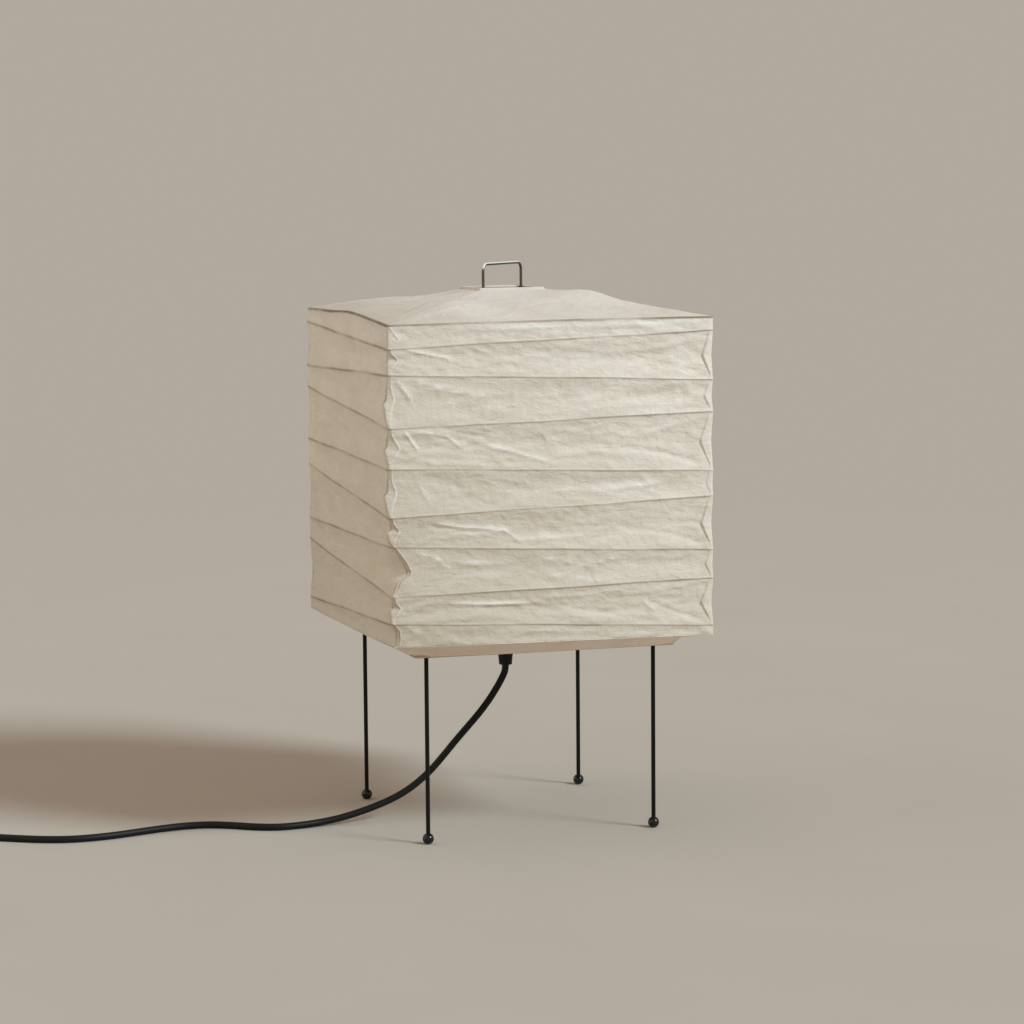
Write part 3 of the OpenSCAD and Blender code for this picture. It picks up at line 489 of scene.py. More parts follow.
def crease_height(a, z, line, height, width):
    """How far a crease along a line lifts the points at a, z: most at its middle, nothing at its ends."""
    line = np.asarray(line, float)
    steps = np.linalg.norm(np.diff(line, axis=0), axis=1)
    total, done = steps.sum(), 0
    nearest = np.full(a.shape, np.inf)
    along = np.zeros(a.shape)
    for p, q, step in zip(line, line[1:], steps):
        t = np.clip(((a - p[0]) * (q[0] - p[0]) + (z - p[1]) * (q[1] - p[1])) / step ** 2, 0, 1)
        far = np.hypot(a - p[0] - t * (q[0] - p[0]), z - p[1] - t * (q[1] - p[1]))
        closer = far < nearest
        nearest[closer] = far[closer]
        along[closer] = (done + t[closer] * step) / total
        done += step
    fade = np.clip(6 * along * (1 - along), 0, 1)
    return CREASE_HIGH * height * fade * np.exp(-(nearest / (CREASE_WIDE * width)) ** 1.2)


# Rows and columns of the wall's mesh; the lean packs a side's columns towards its first corner
RIB_ROWS = [0, 0.45, 0.95, 1.7]
ROW_STEP = 1.6
ARC_STEPS = 4
SIDE_STEPS = [232, 60, 44, 60]
SIDE_LEAN = [0.28, 0, 0, 0]
# Where the left side meets the near corner: its fold, and the length that the corner pulls along
LEFT_REACH, PULL_LONG = 2, (9, 2.2)
TOP_SHARE = 0.45
# The bead over a rib, its dark line, partly the wire seen through the paper and partly painted shadow
# in its crease, the painted shade below it, and how far the paper is smooth there
RIB_BEAD, BEAD_WIDE = 0.3, 0.75
RIB_LINE = [0.5, 0.5, 0.6, 0.85]
RIB_LINE_LOW = 0.3
RIM_DARK = [1.9, 1.5, 1.5, 2.0]
RIB_IN = 0.6
RIB_SHADE, RIB_SHADE_HIGH = 0.2, 2.2
FLAT_AT_RIB, FLAT_AT_CORNER = 2.2, 2.5
NO_RIB = 99
# Painted highlight along the front's raised creases, partly the paler paper of a fold
CREASE_HIGHLIGHT = 0.9
# How much painted shade darkens and yellows the paper at the left end of a side, all over the left
# side, and at the bottom; the ends of the slope along a side, and where the roof's ends
SIDE_SHADE_PAINT, LEFT_SHADE_PAINT, LOW_SHADE_PAINT = 0.36, 0.13, 0.45
SHADE_PAINT_FROM, SHADE_PAINT_TO, ROOF_SHADE_PAINT_TO = -110, 90, -50
CRINKLE = [1.9, 1.2, 1.2, 0.5]
LONG_CRINKLE, SHORT_CRINKLE, GRAIN = 0.34, 0.2, 0.1
NEAR_LEAN = [(0, 1.8), (0.085, -0.6), (0.17, 0.4), (0.32, 1.4), (0.41, -1.2), (0.56, -1.6), (0.68, -1.0),
             (0.84, -1.5), (1, -1.4)]
LEFT_LEAN = [0.5, 1.4]
NEAR_WIDE, LEFT_WIDE = 95, 60


def panel_rows(k):
    """Rows of panel k as (millimetres from its upper rib, from its lower rib, share between these)."""
    mean = np.mean([LEVELS[k][c] - LEVELS[k + 1][c] for c in range(4)]) * WALL_H
    inner = max(4, round((mean - 2 * RIB_ROWS[-1]) / ROW_STEP))
    rows = [(m, None, 0) for m in RIB_ROWS]
    rows += [(None, None, i / inner) for i in range(1, inner)]
    return rows + [(None, m, 1) for m in RIB_ROWS[::-1]]


def settled(points):
    """Points of the shade, moved: the near corner leans out and in along its height, and the left
    one in at its rim."""
    points = np.array(points, float)
    x, y, up = points[..., 0], points[..., 1], (points[..., 2] - RIM_Z) / WALL_H
    share = np.clip(1 - np.hypot(x + HALF, y + HALF) / NEAR_WIDE, 0, 1) ** 1.5
    near = share * np.interp(up, *zip(*NEAR_LEAN))
    left = np.clip(1 - np.hypot(x + HALF, y - HALF) / LEFT_WIDE, 0, 1) * np.interp(up, [0.95, 1], LEFT_LEAN)
    points[..., 0] += near + left
    points[..., 1] += near - left
    return points


def painted_shade_at(x, z, s, clear=SHADE_PAINT_TO):
    """How much painted shade darkens and yellows the paper: more at its left end and towards its bottom."""
    across = LEFT_SHADE_PAINT if s == LEFT else np.interp(x, [SHADE_PAINT_FROM, clear], [SIDE_SHADE_PAINT, 0])
    return across + np.interp(z, [RIM_Z, TOP_Z], [LOW_SHADE_PAINT, 0])


def noise_at(x, y, z):
    """Smooth noise at each x and y of two arrays, and at one z."""
    return np.array([noise.noise(Vector((p, q, z))) for p, q in zip(x.ravel(), y.ravel())]).reshape(x.shape)


def smooth(t):
    t = np.clip(t, 0, 1)
    return t * t * (3 - 2 * t)


def crinkles(s, k, a, z):
    """Small folds all over the paper: long level ones, short ones and a fine grain."""
    long = 1 - 2.4 * abs(noise_at(a / 34 + 9 * s, z / 8.5, k * 5.7 + s))
    short = 1 - 2.4 * abs(noise_at(a / 15, z / 6.0 + 7 * s, k * 3.1 + s + 40))
    often = smooth(0.5 + 1.6 * noise_at(a / 50, z / 30, s + 80.5))
    grain = noise_at(a / 4.5, z / 3.5, k + s + 120.5)
    return CRINKLE[s] * (LONG_CRINKLE * long * often + SHORT_CRINKLE * short + GRAIN * grain)


def row_share(rows, height):
    """The share of a panel of that height, from its top, at which each row lies."""
    band = RIB_ROWS[-1]
    found = []
    for from_upper, from_lower, share in rows:
        if from_upper is not None:
            found.append(from_upper / height)
        elif from_lower is not None:
            found.append(1 - from_lower / height)
        else:
            found.append((band + share * (height - 2 * band)) / height)
    return np.array(found)[:, None]


def corner_fold(c, k, rows):
    """The fold of panel k at corner c, each value a column with one entry for each row.

    shift is how far the corner moves along its own side, and dent how far into it. reach is how far
    the fold stands from the end of the corner's arc, step the width of its slope, edge and lie the
    depths of its edge and of the paper behind, crest its height, pale how much painted highlight lies
    along it, and hold and corner how much of the panel's own depth stays at the fold and at the corner.
    """
    height = (LEVELS[k][c] - LEVELS[k + 1][c]) * WALL_H
    v = row_share(rows, height)
    tent = 1 - abs(2 * v - 1)
    tip = tent * min(1, FOLD_SLOPE * height / 2 / FOLD_DEPTH)
    if c == NEAR:
        reach, at, high = NEAR_CRESTS[k]
        shift = np.interp(v, *zip(*NEAR_EDGES[k]))
        reach = np.interp(v, [0, at, 1], [0, reach, 0]) - CORNER_R
        reach = np.maximum(reach, np.maximum(shift, 0) + CREST_OUT)
        fade = np.interp(v, [0, 0.1, at, at + 0.15, 1], CREST_FADE)
        held = np.interp(v, [0, at, at + EDGE_TURN, 1], np.repeat(EDGE_HOLD, 2))
        held = np.where(shift > EDGE_PULLED, CREST_HOLD, held)
        return {"shift": shift, "dent": PULLED_DENT * np.maximum(shift, 0), "reach": reach,
                "step": CREST_WIDE + 0 * v, "edge": 0 * v, "lie": 0 * v, "crest": high * fade,
                "pale": fade, "hold": CREST_HOLD, "corner": held}
    dent, reach, edge, lie = FOLDS[c][k]
    rest = FOLD_REST[0] + (FOLD_REST[1] - FOLD_REST[0]) * v
    reach = np.maximum(LEAST_REACH, rest + (reach - rest) * tent - CORNER_R)
    return {"shift": dent * tip, "dent": dent * tip, "reach": reach, "step": LEAST_STEP + STEP_WIDE * tent,
            "edge": edge * tip, "lie": lie * tip, "crest": 0 * v, "pale": 0 * v, "hold": 0, "corner": 0}


def lam_of(reach):
    """Shares of the way from the corner's arc to the fold at which the columns stand."""
    last = 1 - CREST_WIDE / np.maximum(reach, 1.8 * CREST_WIDE)
    return last * FOLD_STEPS


def side_rows(s, k):
    """Panel k on side s, from its first corner's arc up to the next one.

    Returns its points, and for each how dark its rib's line and the painted shade below the rib make it,
    how much painted highlight its crest and raised creases get, and how much painted shade darkens it.
    Along the side come the arc, the first fold, the main part and the last fold.
    """
    rows = panel_rows(k)
    steps, lean = SIDE_STEPS[s], SIDE_LEAN[s]
    one, two = corner_fold(s, k, rows), corner_fold((s + 1) % 4, k, rows)
    if s == LEFT:
        two = {**two, "reach": LEFT_REACH + 0 * two["reach"], "hold": 0, "crest": 0 * two["crest"]}
    upper = np.array([np.nan if r[0] is None else r[0] for r in rows])[:, None]
    lower = np.array([np.nan if r[1] is None else r[1] for r in rows])[:, None]
    share = np.array([r[2] for r in rows])[:, None]
    start, end = CORNER_R - HALF, HALF - CORNER_R
    turn = np.radians(90 * np.arange(ARC_STEPS) / ARC_STEPS)
    mu = np.arange(steps + 1) / steps
    mu = (1 - lean) * mu + lean * mu * mu
    lam, next_lam = lam_of(one["reach"]), lam_of(two["reach"])
    begin, stop = start + one["reach"] + one["step"], end - two["reach"] - two["step"]
    a = np.hstack([
        0 * begin - HALF + CORNER_R * (1 - np.cos(turn)),
        start + one["reach"] * lam, start + one["reach"],
        begin + (stop - begin) * mu,
        end - two["reach"], end - two["reach"] * next_lam[:, :0:-1],
    ])
    arc, first = slice(0, ARC_STEPS), slice(ARC_STEPS, ARC_STEPS + FOLD_COLS)
    main = slice(first.stop, first.stop + steps + 1)
    last = slice(main.stop, main.stop + FOLD_COLS - 1)
    at = np.clip(a, -HALF, HALF)
    z0, z1 = level_z(k, s, at), level_z(k + 1, s, at)
    band = RIB_ROWS[-1]
    between = z0 - band - share * (z0 - z1 - 2 * band)
    z = np.where(np.isnan(upper), np.where(np.isnan(lower), between, z1 + lower), z0 - upper)
    local = (z0 - z) / (z0 - z1)
    wander = noise_at(at / WANDER_LONG, np.full(a.shape, k * 7.3), s * 3.1)
    deep = np.minimum(FOLD_DEPTH, FOLD_SLOPE * (z0 - z1) / 2) * (1 + WANDER * wander)
    fold_at = FOLD_AT + FOLD_AT_WANDER * wander
    tilt = np.clip(np.where(local < fold_at, local / fold_at, (1 - local) / (1 - fold_at)), 0, 1)
    bowl = (np.sin(tilt * math.pi / 2) * BOWL_ROUND + tilt * (1 - BOWL_ROUND)) * deep
    bowl *= np.interp(at, [-HALF, HALF], FOLD_SHARE[s]) * (TOP_SHARE if k == 0 else 1)

    depth, sideways = np.zeros_like(a), np.zeros_like(a)
    lam, next_lam = np.hstack([lam, 0 * begin + 1]), np.hstack([next_lam, 0 * begin + 1])[:, :0:-1]
    near = one["hold"] + (1 - one["hold"]) * smooth((a[:, main] - begin) / FOLD_FADE)
    far = two["hold"] + (1 - two["hold"]) * smooth((stop - a[:, main]) / FOLD_FADE)
    depth[:, main] = bowl[:, main] * near * far + one["lie"] * (1 - near) + two["lie"] * (1 - far)
    depth[:, arc] = one["dent"] + one["corner"] * bowl[:, arc] + CORNER_R * (1 - np.sin(turn))
    sideways[:, arc] = one["shift"]
    depth[:, first] = one["dent"] * (1 - lam) + one["edge"] * lam
    kept = one["corner"] * (1 - lam) + one["hold"] * lam
    depth[:, first] += kept * bowl[:, first] - one["crest"] * (lam == 1)
    sideways[:, first] = (1 - lam) * one["shift"]
    depth[:, last] = two["shift"] * (1 - next_lam) + two["edge"] * next_lam
    sideways[:, last] = -(1 - next_lam) * two["dent"]
    if s == LEFT:
        long = PULL_LONG[0] + PULL_LONG[1] * abs(two["shift"])
        depth[:, last] = 0
        pulled = slice(main.start, last.stop)
        depth[:, pulled] += two["shift"] * np.clip(1 - (end - a[:, pulled]) / long, 0, 1) ** 2
    lift, pale = crinkles(s, k, a, z), np.zeros_like(a)
    # Painted highlight along the near corner's crest and the front's raised creases
    pale[:, first.stop - 1] = one["pale"][:, 0]
    for panel, high, wide, line in creases[s]:
        if panel == k:
            x = np.array([d - HALF for d, _ in line])
            up, low = level_z(k, s, x), level_z(k + 1, s, x)
            bends = [(d, zu - w * (zu - zl)) for d, (_, w), zu, zl in zip(x, line, up, low)]
            raised = crease_height(a, z, bends, high, wide)
            pale += (CREASE_HIGHLIGHT if s == FRONT else 0) * np.maximum(raised, 0) ** 2
            lift += raised
    below, above = z0 - z, z - z1
    free = np.clip(np.minimum(below, above) / FLAT_AT_RIB, 0, 1)
    depth -= lift * free * np.clip((HALF - CORNER_R - abs(a)) / FLAT_AT_CORNER, 0, 1)
    near_rib = np.minimum(below if k else NO_RIB, above if k < PANELS - 1 else NO_RIB)
    depth -= RIB_BEAD * np.exp(-(near_rib / BEAD_WIDE) ** 2)
    # A dark line along each rib, partly the wire seen through the paper and partly painted shadow in its crease, and a
    # painted shade below each rib
    wide = RIB_LINE[s]
    rib_line_and_shade = np.exp(-((below - RIB_LINE_LOW) / wide) ** 2) + np.exp(-((above + RIB_LINE_LOW) / wide) ** 2)
    rib_line_and_shade = np.minimum(rib_line_and_shade, 1) * (RIM_DARK[s] if k == 0 else 1)
    if k:
        rib_line_and_shade += RIB_SHADE * np.exp(-below / RIB_SHADE_HIGH)
    xy = (a + sideways)[..., None] * ALONG[s] - (HALF - depth)[..., None] * INWARD[s]
    # Painted shade: darker and yellower towards the left end and the bottom
    shade_paint = painted_shade_at(at * ALONG[s][0] - HALF * INWARD[s][0], z, s)
    return settled(np.dstack([xy, z])), rib_line_and_shade, np.clip(pale, 0, 1), shade_paint


creases = [side_creases(s) for s in range(4)]


def wall_skin():
    """The wall's rows of points all round and their three paints, and which rows the inner skin uses."""
    panels, picked, count = [], [], 0
    for k in range(PANELS):
        parts = [np.concatenate(part, axis=1) for part in zip(*(side_rows(s, k) for s in range(4)))]
        n = len(parts[0]) - 1
        edge = len(RIB_ROWS) - 1
        picked += [count + i for i in (0, edge, n // 3, 2 * n // 3, n - edge)]
        panels.append(parts if k == PANELS - 1 else [part[:-1] for part in parts])
        count += n
    return [np.concatenate(part) for part in zip(*panels)], picked + [count]


def widest(values, picked, spread=0):
    """The most that values reach, at each picked row, between the rows picked before and after it."""
    found = []
    for i in range(len(picked)):
        part = values[picked[max(i - 1, 0)]:picked[min(i + 1, len(picked) - 1)] + 1]
        shifted = [np.roll(part, j, axis=1) for j in range(-spread, spread + 1)]
        found.append(np.max(shifted, axis=(0, 1)))
    return np.array(found)


def inner_skin(outer, picked):
    """Rows inside the outer skin that none of its folds reach, with half as many columns."""
    blocks, first = [], 0
    for s in range(4):
        stop = first + ARC_STEPS + SIDE_STEPS[s] + 2 * FOLD_COLS
        side = outer[:, first:stop]
        along = side[..., :2] @ ALONG[s]
        depth = side[..., :2] @ INWARD[s]
        start, end = ARC_STEPS + FOLD_COLS, side.shape[1] - FOLD_COLS + 1
        a = along[picked]
        a[:, :start] = widest(along, picked)[:, :start] + SKIN_GAP
        a[:, end:] = -widest(-along, picked)[:, end:] - SKIN_GAP
        a = np.maximum.accumulate(a, axis=1)
        a = np.minimum.accumulate(a[:, ::-1], axis=1)[:, ::-1]
        deep = widest(np.pad(depth, ((0, 0), (2, 2)), mode="edge"), picked, 2)[:, 2:-2] + SKIN_GAP
        xy = a[..., None] * ALONG[s] + deep[..., None] * INWARD[s]
        blocks.append(np.dstack([xy, side[picked][..., 2]]))
        first = stop
    return np.concatenate(blocks, axis=1)[:, ::2]


def ring_faces(rows, cols, first=0, flip=False):
    """Quads between rows of points that close around, the first of them point number first."""
    i, j = np.meshgrid(np.arange(rows - 1), np.arange(cols), indexing="ij")
    k = (j + 1) % cols
    quads = np.stack([i * cols + j, (i + 1) * cols + j, (i + 1) * cols + k, i * cols + k], -1)
    quads = quads.reshape(-1, 4) + first
    return (quads[:, ::-1] if flip else quads).tolist()


def shell(name, outer, inner):
    """A closed sheet between two skins; the inner one has as many columns, or half as many."""
    (ro, cols, _), (ri, few, _) = outer.shape, inner.shape
    every = cols // few
    points = np.concatenate([outer.reshape(-1, 3), inner.reshape(-1, 3)])
    start = ro * cols
    faces = ring_faces(ro, cols) + ring_faces(ri, few, start, flip=True)
    for row, back, flip in ((0, 0, 1), (ro - 1, ri - 1, -1)):
        for i in range(few):
            edge = [row * cols + (i * every + j) % cols for j in range(every + 1)]
            face = edge + [start + back * few + (i + 1) % few, start + back * few + i]
            faces.append(face[::flip])
    return mesh_object(name, points, faces)


def paint(obj, name, values):
    """One number for each of the first points of a mesh, which its material reads by name."""
    layer = obj.data.attributes.new(name, "FLOAT", "POINT")
    full = np.zeros(len(obj.data.vertices), np.float32)
    full[:len(values)] = values
    layer.data.foreach_set("value", full)


def inward_of(rows):
    """Level unit vectors that point into the shade, for rows of points that close around."""
    along = np.roll(rows, -1, axis=1) - np.roll(rows, 1, axis=1)
    normal = np.dstack([-along[..., 1], along[..., 0], np.zeros(along.shape[:2])])
    return normal / np.maximum(np.linalg.norm(normal, axis=2, keepdims=True), 1e-9)


gather = next(j for j in frame["joints"] if j["name"] == "shade_gather")
GATHER_KEEP = 1 - gather["range_m"][1] / (WALL_H * MM)
LEVEL_Z = {0: TOP_Z, PANELS: RIM_Z}


def wall():
    (outer, *paints), picked = wall_skin()
    obj = shell("wall_washi", outer, inner_skin(outer, picked))
    # Paints: the rib lines with their painted shade, the painted highlight on crests and creases, and the painted shade
    # towards the left end and the bottom
    for name, values in zip(("rib", "pale", "painted_shade"), paints):
        paint(obj, name, values.ravel())
    paint(obj, "inside", np.arange(len(obj.data.vertices)) >= outer.shape[0] * outer.shape[1])
    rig.ride(obj, "shade")
    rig.replaces(obj, "wall_paper")
    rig.slot(obj, "washi")
    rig.squash(obj, "shade_gather", axis=(0, 0, 1), anchor=(0, 0, TOP_Z * MM), keep=GATHER_KEEP)


wall()


# Ribs and rims

WIRE_COLS, WIRE_SIDES = 24, 8
# Level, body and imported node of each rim, how much further in it lies, and its corner radius
RIMS = [(0, "shade", "top_rim_wire", 0, 2.5), (PANELS, "hem", "bottom_rim_wire", 1.2, 12)]


def square_row(h, r, z_of, cols):
    """Points round a square of half width h with corner radius r.

    z_of gives their heights from the side, the share of h along it, and h.
    """
    row = []
    for s in range(4):
        for t in np.radians([22.5, 45, 67.5]):
            a, d = r * (1 - math.cos(t)) - h, r * (1 - math.sin(t))
            row.append((*(a * ALONG[s] - (h - d) * INWARD[s]), z_of(s, a / h, h)))
        for a in np.linspace(r - h, h - r, cols):
            row.append((*(a * ALONG[s] - h * INWARD[s]), z_of(s, a / h, h)))
    return settled(row)


def level_wire(name, k, h, bend, radius, up=0):
    """A wire along level k of the wall, moved up, round a square of half width h."""
    points = square_row(h, bend, lambda s, share, half: float(level_z(k, s, share * half)) + up, WIRE_COLS)
    return tube_mesh(name, points, radius)


def tube_mesh(name, points, radius):
    """A closed wire of round section through a level loop of points."""
    p = np.asarray(points, float)[None]
    along = np.roll(p, -1, axis=1) - np.roll(p, 1, axis=1)
    along /= np.linalg.norm(along, axis=2, keepdims=True)
    out = -inward_of(p)
    up = np.cross(along, out)
    turn = np.arange(WIRE_SIDES) * 2 * math.pi / WIRE_SIDES
    rows = np.array([p[0] + radius * (math.cos(t) * out[0] + math.sin(t) * up[0]) for t in turn])
    cols = p.shape[1]
    faces = []
    for i in range(WIRE_SIDES):
        for j in range(cols):
            m, k = (i + 1) % WIRE_SIDES, (j + 1) % cols
            faces.append([i * cols + j, i * cols + k, m * cols + k, m * cols + j])
    return mesh_object(name, rows.reshape(-1, 3), faces)


for k in range(1, PANELS):
    wire = level_wire(f"rib_wire_{k}", k, HALF - PAPER_T - RIB_D / 2 - RIB_IN, CORNER_R, RIB_D / 2)
    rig.ride(wire, "shade")
    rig.replaces(wire, f"rib_{k}")
    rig.slot(wire, "rim_wire")
    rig.squash(wire, "shade_gather", axis=(0, 0, 1), anchor=(0, 0, TOP_Z * MM), keep=GATHER_KEEP)


rim_d = (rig.box("top_rim_wire")[1].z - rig.box("top_rim_wire")[0].z) / MM
for k, body, node, further_in, bend in RIMS:
    lo, hi = box_mm(node)
    inset, up = HALF - hi.x + rim_d / 2 + further_in, (lo.z + hi.z) / 2 - LEVEL_Z[k]
    wire = level_wire("top_rim" if k == 0 else "bottom_rim", k, HALF - inset, bend, rim_d / 2, up)
    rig.ride(wire, body)
    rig.replaces(wire, node)
    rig.slot(wire, "rim_wire")


# Roof and hem

collar_lo, collar_hi = box_mm("collar_wire")
COLLAR_Z = (collar_lo.z + collar_hi.z) / 2
hem_lo, hem_hi = box_mm("hem_wire")
ROOF_ROWS, ROOF_COLS = 44, 72
ROOF_IN, HEM_IN = collar_hi.x + 0.3, hem_hi.x - 1
COLLAR_D = collar_hi.z - collar_lo.z
# Rows of the lip round the collar, as how far out of the roof's edge and above the collar, and of
# the edge that turns in under the top rim, as how far in and down
LIP = [(0, 0.4), (-0.5, COLLAR_D / 2 + 0.5), (-COLLAR_D / 2 - 0.3, COLLAR_D / 2 + 0.75),
       (-COLLAR_D - 0.6, COLLAR_D / 2), (-COLLAR_D - 0.8, -0.4)]
TURN_IN = [(0.02, 0.24), (0.5, 0.7), (0.9, 1.4), (1.3, 4.2)]
LIP_BEND = 0.6
# Painted shadow of the collar's opening along the lip's inner edge and the row next to it, and the dark line at the
# roof's rim
LIP_SHADOW_PAINT, LIP_EDGE_SHADOW_PAINT, ROOF_RIM_DARK = 1.8, 0.2, 1.4
# Creases of the roof: side, points of share along it and half width there, height and width
ROOF_CREASES = [
    (FRONT, [(-0.98, 113), (-0.7, 60), (-0.6, 34)], 0.5, 3),
    (FRONT, [(0.95, 112), (0.9, 70), (0.8, 45)], 0.6, 4),
    (FRONT, [(-0.3, 108), (-0.05, 60)], 0.35, 3), (FRONT, [(0.35, 105), (0.5, 48)], 0.35, 3),
    (LEFT, [(0.9, 110), (0.6, 60)], 0.4, 3), (LEFT, [(-0.4, 105), (-0.2, 50)], 0.4, 3),
    (RIGHT, [(-0.9, 110), (-0.8, 50)], 0.5, 3), (RIGHT, [(0.3, 108), (0.2, 40)], 0.4, 3),
    (BACK, [(0.7, 108), (0.5, 50)], 0.4, 3), (BACK, [(-0.5, 105), (-0.6, 50)], 0.4, 3),
]
# The roof over its rim and its collar, its sag, the bump on the right hip and the puffs at the far
# one (each by half width), and its unevenness as height, width and layer of the noise
ROOF_UP, COLLAR_UP, ROOF_SAG = 0.15, 0.2, 1.3
HIP_BUMP, HIP_AT, HIP_WIDE, HIP_REACH = 4.2, 49, 14, 0.55
FAR_PUFFS, FAR_REACH = [(0.8, 88, 20), (-1.9, 45, 16)], 0.6
AWAY = 9
ROOF_WAVES, ROOF_GRAIN = (0.55, 24, 3.3), (0.36, 7, 8.1)


def hump(u):
    """1 in the middle of a slope, and 0 at its ends and past them."""
    return math.sin(math.pi * min(max(u, 0), 1))


def waves(x, y, kind):
    """Unevenness at x and y, of a kind given as its height, width and layer of the noise."""
    high, wide, layer = kind
    return high * noise.noise(Vector((x / wide, y / wide, layer)))


def roof_z(s, share, h):
    """Height of the roof on side s, at a share along it, on the square of half width h."""
    u = (HALF - h) / (HALF - ROOF_IN)
    edge = level_z(0, s, share * HALF) + ROOF_UP
    z = edge + (COLLAR_Z + COLLAR_UP - edge) * u
    z -= ROOF_SAG * hump(u) * (1 - share * share) ** 2
    to_hip = (1 - share) if s == FRONT else (1 + share) if s == RIGHT else AWAY
    z += HIP_BUMP * math.exp(-((h - HIP_AT) / HIP_WIDE) ** 2) * math.exp(-(to_hip / HIP_REACH) ** 2)
    to_far = (1 - share) if s == BACK else (1 + share) if s == LEFT else AWAY
    for high, at, wide in FAR_PUFFS:
        z += high * math.exp(-((h - at) / wide) ** 2) * math.exp(-(to_far / FAR_REACH) ** 2)
    x, y = share * h * ALONG[s] - h * INWARD[s]
    z += waves(x, y, ROOF_WAVES) * hump(u)
    z += waves(x, y, ROOF_GRAIN) * hump(u) ** 0.5
    for side, line, high, wide in ROOF_CREASES:
        if side == s:
            bends = [(q * d, d) for q, d in line]
            z += float(crease_height(np.array([share * h]), np.array([h]), bends, high, wide)[0])
    return z


def roof():
    rows = []
    for i in range(ROOF_ROWS + 1):
        u = i / ROOF_ROWS
        bend = CORNER_R * (LIP_BEND + (1 - LIP_BEND) * u)
        rows.append(square_row(ROOF_IN + (HALF - ROOF_IN) * u, bend, roof_z, ROOF_COLS))
    for h, up in LIP:
        rows.insert(0, square_row(ROOF_IN + h, CORNER_R * LIP_BEND, lambda *_: COLLAR_Z + up, ROOF_COLS))
    for deep, drop in TURN_IN:
        rows.append(square_row(HALF - deep, CORNER_R,
                               lambda s, share, _: level_z(0, s, share * HALF) - drop, ROOF_COLS))
    top = np.array(rows)
    top[..., 2] += PAPER_T / 2
    rim_row = len(rows) - len(TURN_IN) - 1
    level = np.array([0.0] * rim_row + [0.7] + [1.0] * len(TURN_IN))[:, None, None]
    under = top + PAPER_T * (level * inward_of(top) - np.sqrt(1 - level ** 2) * [0, 0, 1])
    obj = shell("roof_washi", top, under)
    edge = np.zeros(top.shape[:2])
    # Painted shadow along the lip's inner edge, and the dark line at the rim
    edge[0], edge[1], edge[rim_row:rim_row + 2] = LIP_SHADOW_PAINT, LIP_EDGE_SHADOW_PAINT, ROOF_RIM_DARK
    paint(obj, "rib", edge.ravel())
    # Painted shade, darker and yellower towards the left
    paint(obj, "painted_shade", painted_shade_at(top[..., 0], TOP_Z, FRONT, ROOF_SHADE_PAINT_TO).ravel())
    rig.ride(obj, "shade")
    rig.replaces(obj, "roof_paper")
    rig.slot(obj, "washi_roof")


roof()
HEM_ROWS, HEM_COLS = 16, 60
# The hem below its rim and its wire, the hollow at its corners, its rise at the near one and how
# wide that is, its unevenness, and how dark its two edges are
HEM_DOWN, HEM_OVER = 0.3, 1.5
HEM_HIP, HIP_POWER = 5.0, 1.4
HEM_RISE, RISE_WIDE = 0.4, 90
HEM_WAVES = (0.5, 17, 5.9)
HEM_DARK = (0.6, 1)


def hem_z(s, share, h):
    """Height of the hem's lower face on the square of half width h."""
    u = (HALF - h) / (HALF - HEM_IN)
    x, y = share * h * ALONG[s] - h * INWARD[s]
    edge = level_z(PANELS, s, share * HALF) - HEM_DOWN
    z = edge + (hem_lo.z - HEM_OVER - edge) * u
    z += HEM_HIP * hump(max(u, 0) ** HIP_POWER) * share ** 6
    z += HEM_RISE * u * max(0, 1 - math.hypot(x + HALF, y + HALF) / RISE_WIDE)
    return z + waves(x, y, HEM_WAVES) * hump(u)


def hem():
    rows = []
    for i in range(HEM_ROWS + 1):
        u = i / HEM_ROWS
        rows.append(square_row(HALF - (HALF - HEM_IN) * u, CORNER_R, hem_z, HEM_COLS))
    low = np.array(rows)
    obj = shell("hem_washi", low, low + [0, 0, PAPER_T])
    edge = np.zeros(low.shape[:2])
    edge[0], edge[-1] = HEM_DARK
    paint(obj, "rib", edge.ravel())
    # Painted shade, darker and yellower towards the left
    paint(obj, "painted_shade", painted_shade_at(low[..., 0], TOP_Z, FRONT).ravel())
    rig.ride(obj, "hem")
    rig.replaces(obj, "hem_paper")
    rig.slot(obj, "washi_hem")


hem()


# Materials

MATERIALS = {}


def material(name):
    """A new material of one shader, kept under its slot's name."""
    mat = MATERIALS[name] = bpy.data.materials.new(name)
    mat.use_nodes = True
    tree = mat.node_tree
    tree.nodes.clear()
    shader = add(tree, "BsdfPrincipled")
    return tree, shader, add(tree, "OutputMaterial", Surface=shader.outputs[0])


def feed(socket, value):
    """Gives an input the output of another node, or a plain value."""
    if isinstance(value, bpy.types.NodeSocket):
        socket.id_data.links.new(value, socket)
    else:
        socket.default_value = value


def put(node, **settings):
    """Feeds inputs of a node, named with _ for a space, and sets its other properties."""
    for key, value in settings.items():
        socket = node.inputs.get(key.replace("_", " "))
        if socket is None:
            setattr(node, key, value)
        else:
            feed(socket, value)
    return node


def add(tree, kind, **settings):
    """A new node of a tree, with its settings as in put."""
    return put(tree.nodes.new("ShaderNode" + kind), **settings)


def spots(tree, scale, detail=4, rough=0.55, stretch=(1, 1, 1), twist=0):
    """Noise in the row frame, with scale in spots per metre."""
    place = add(tree, "Mapping", Vector=add(tree, "TexCoord").outputs["Object"], Scale=stretch)
    tex = add(tree, "TexNoise", Vector=place.outputs[0], Scale=scale, Detail=detail, Roughness=rough,
              Distortion=twist)
    return tex.outputs["Fac"]


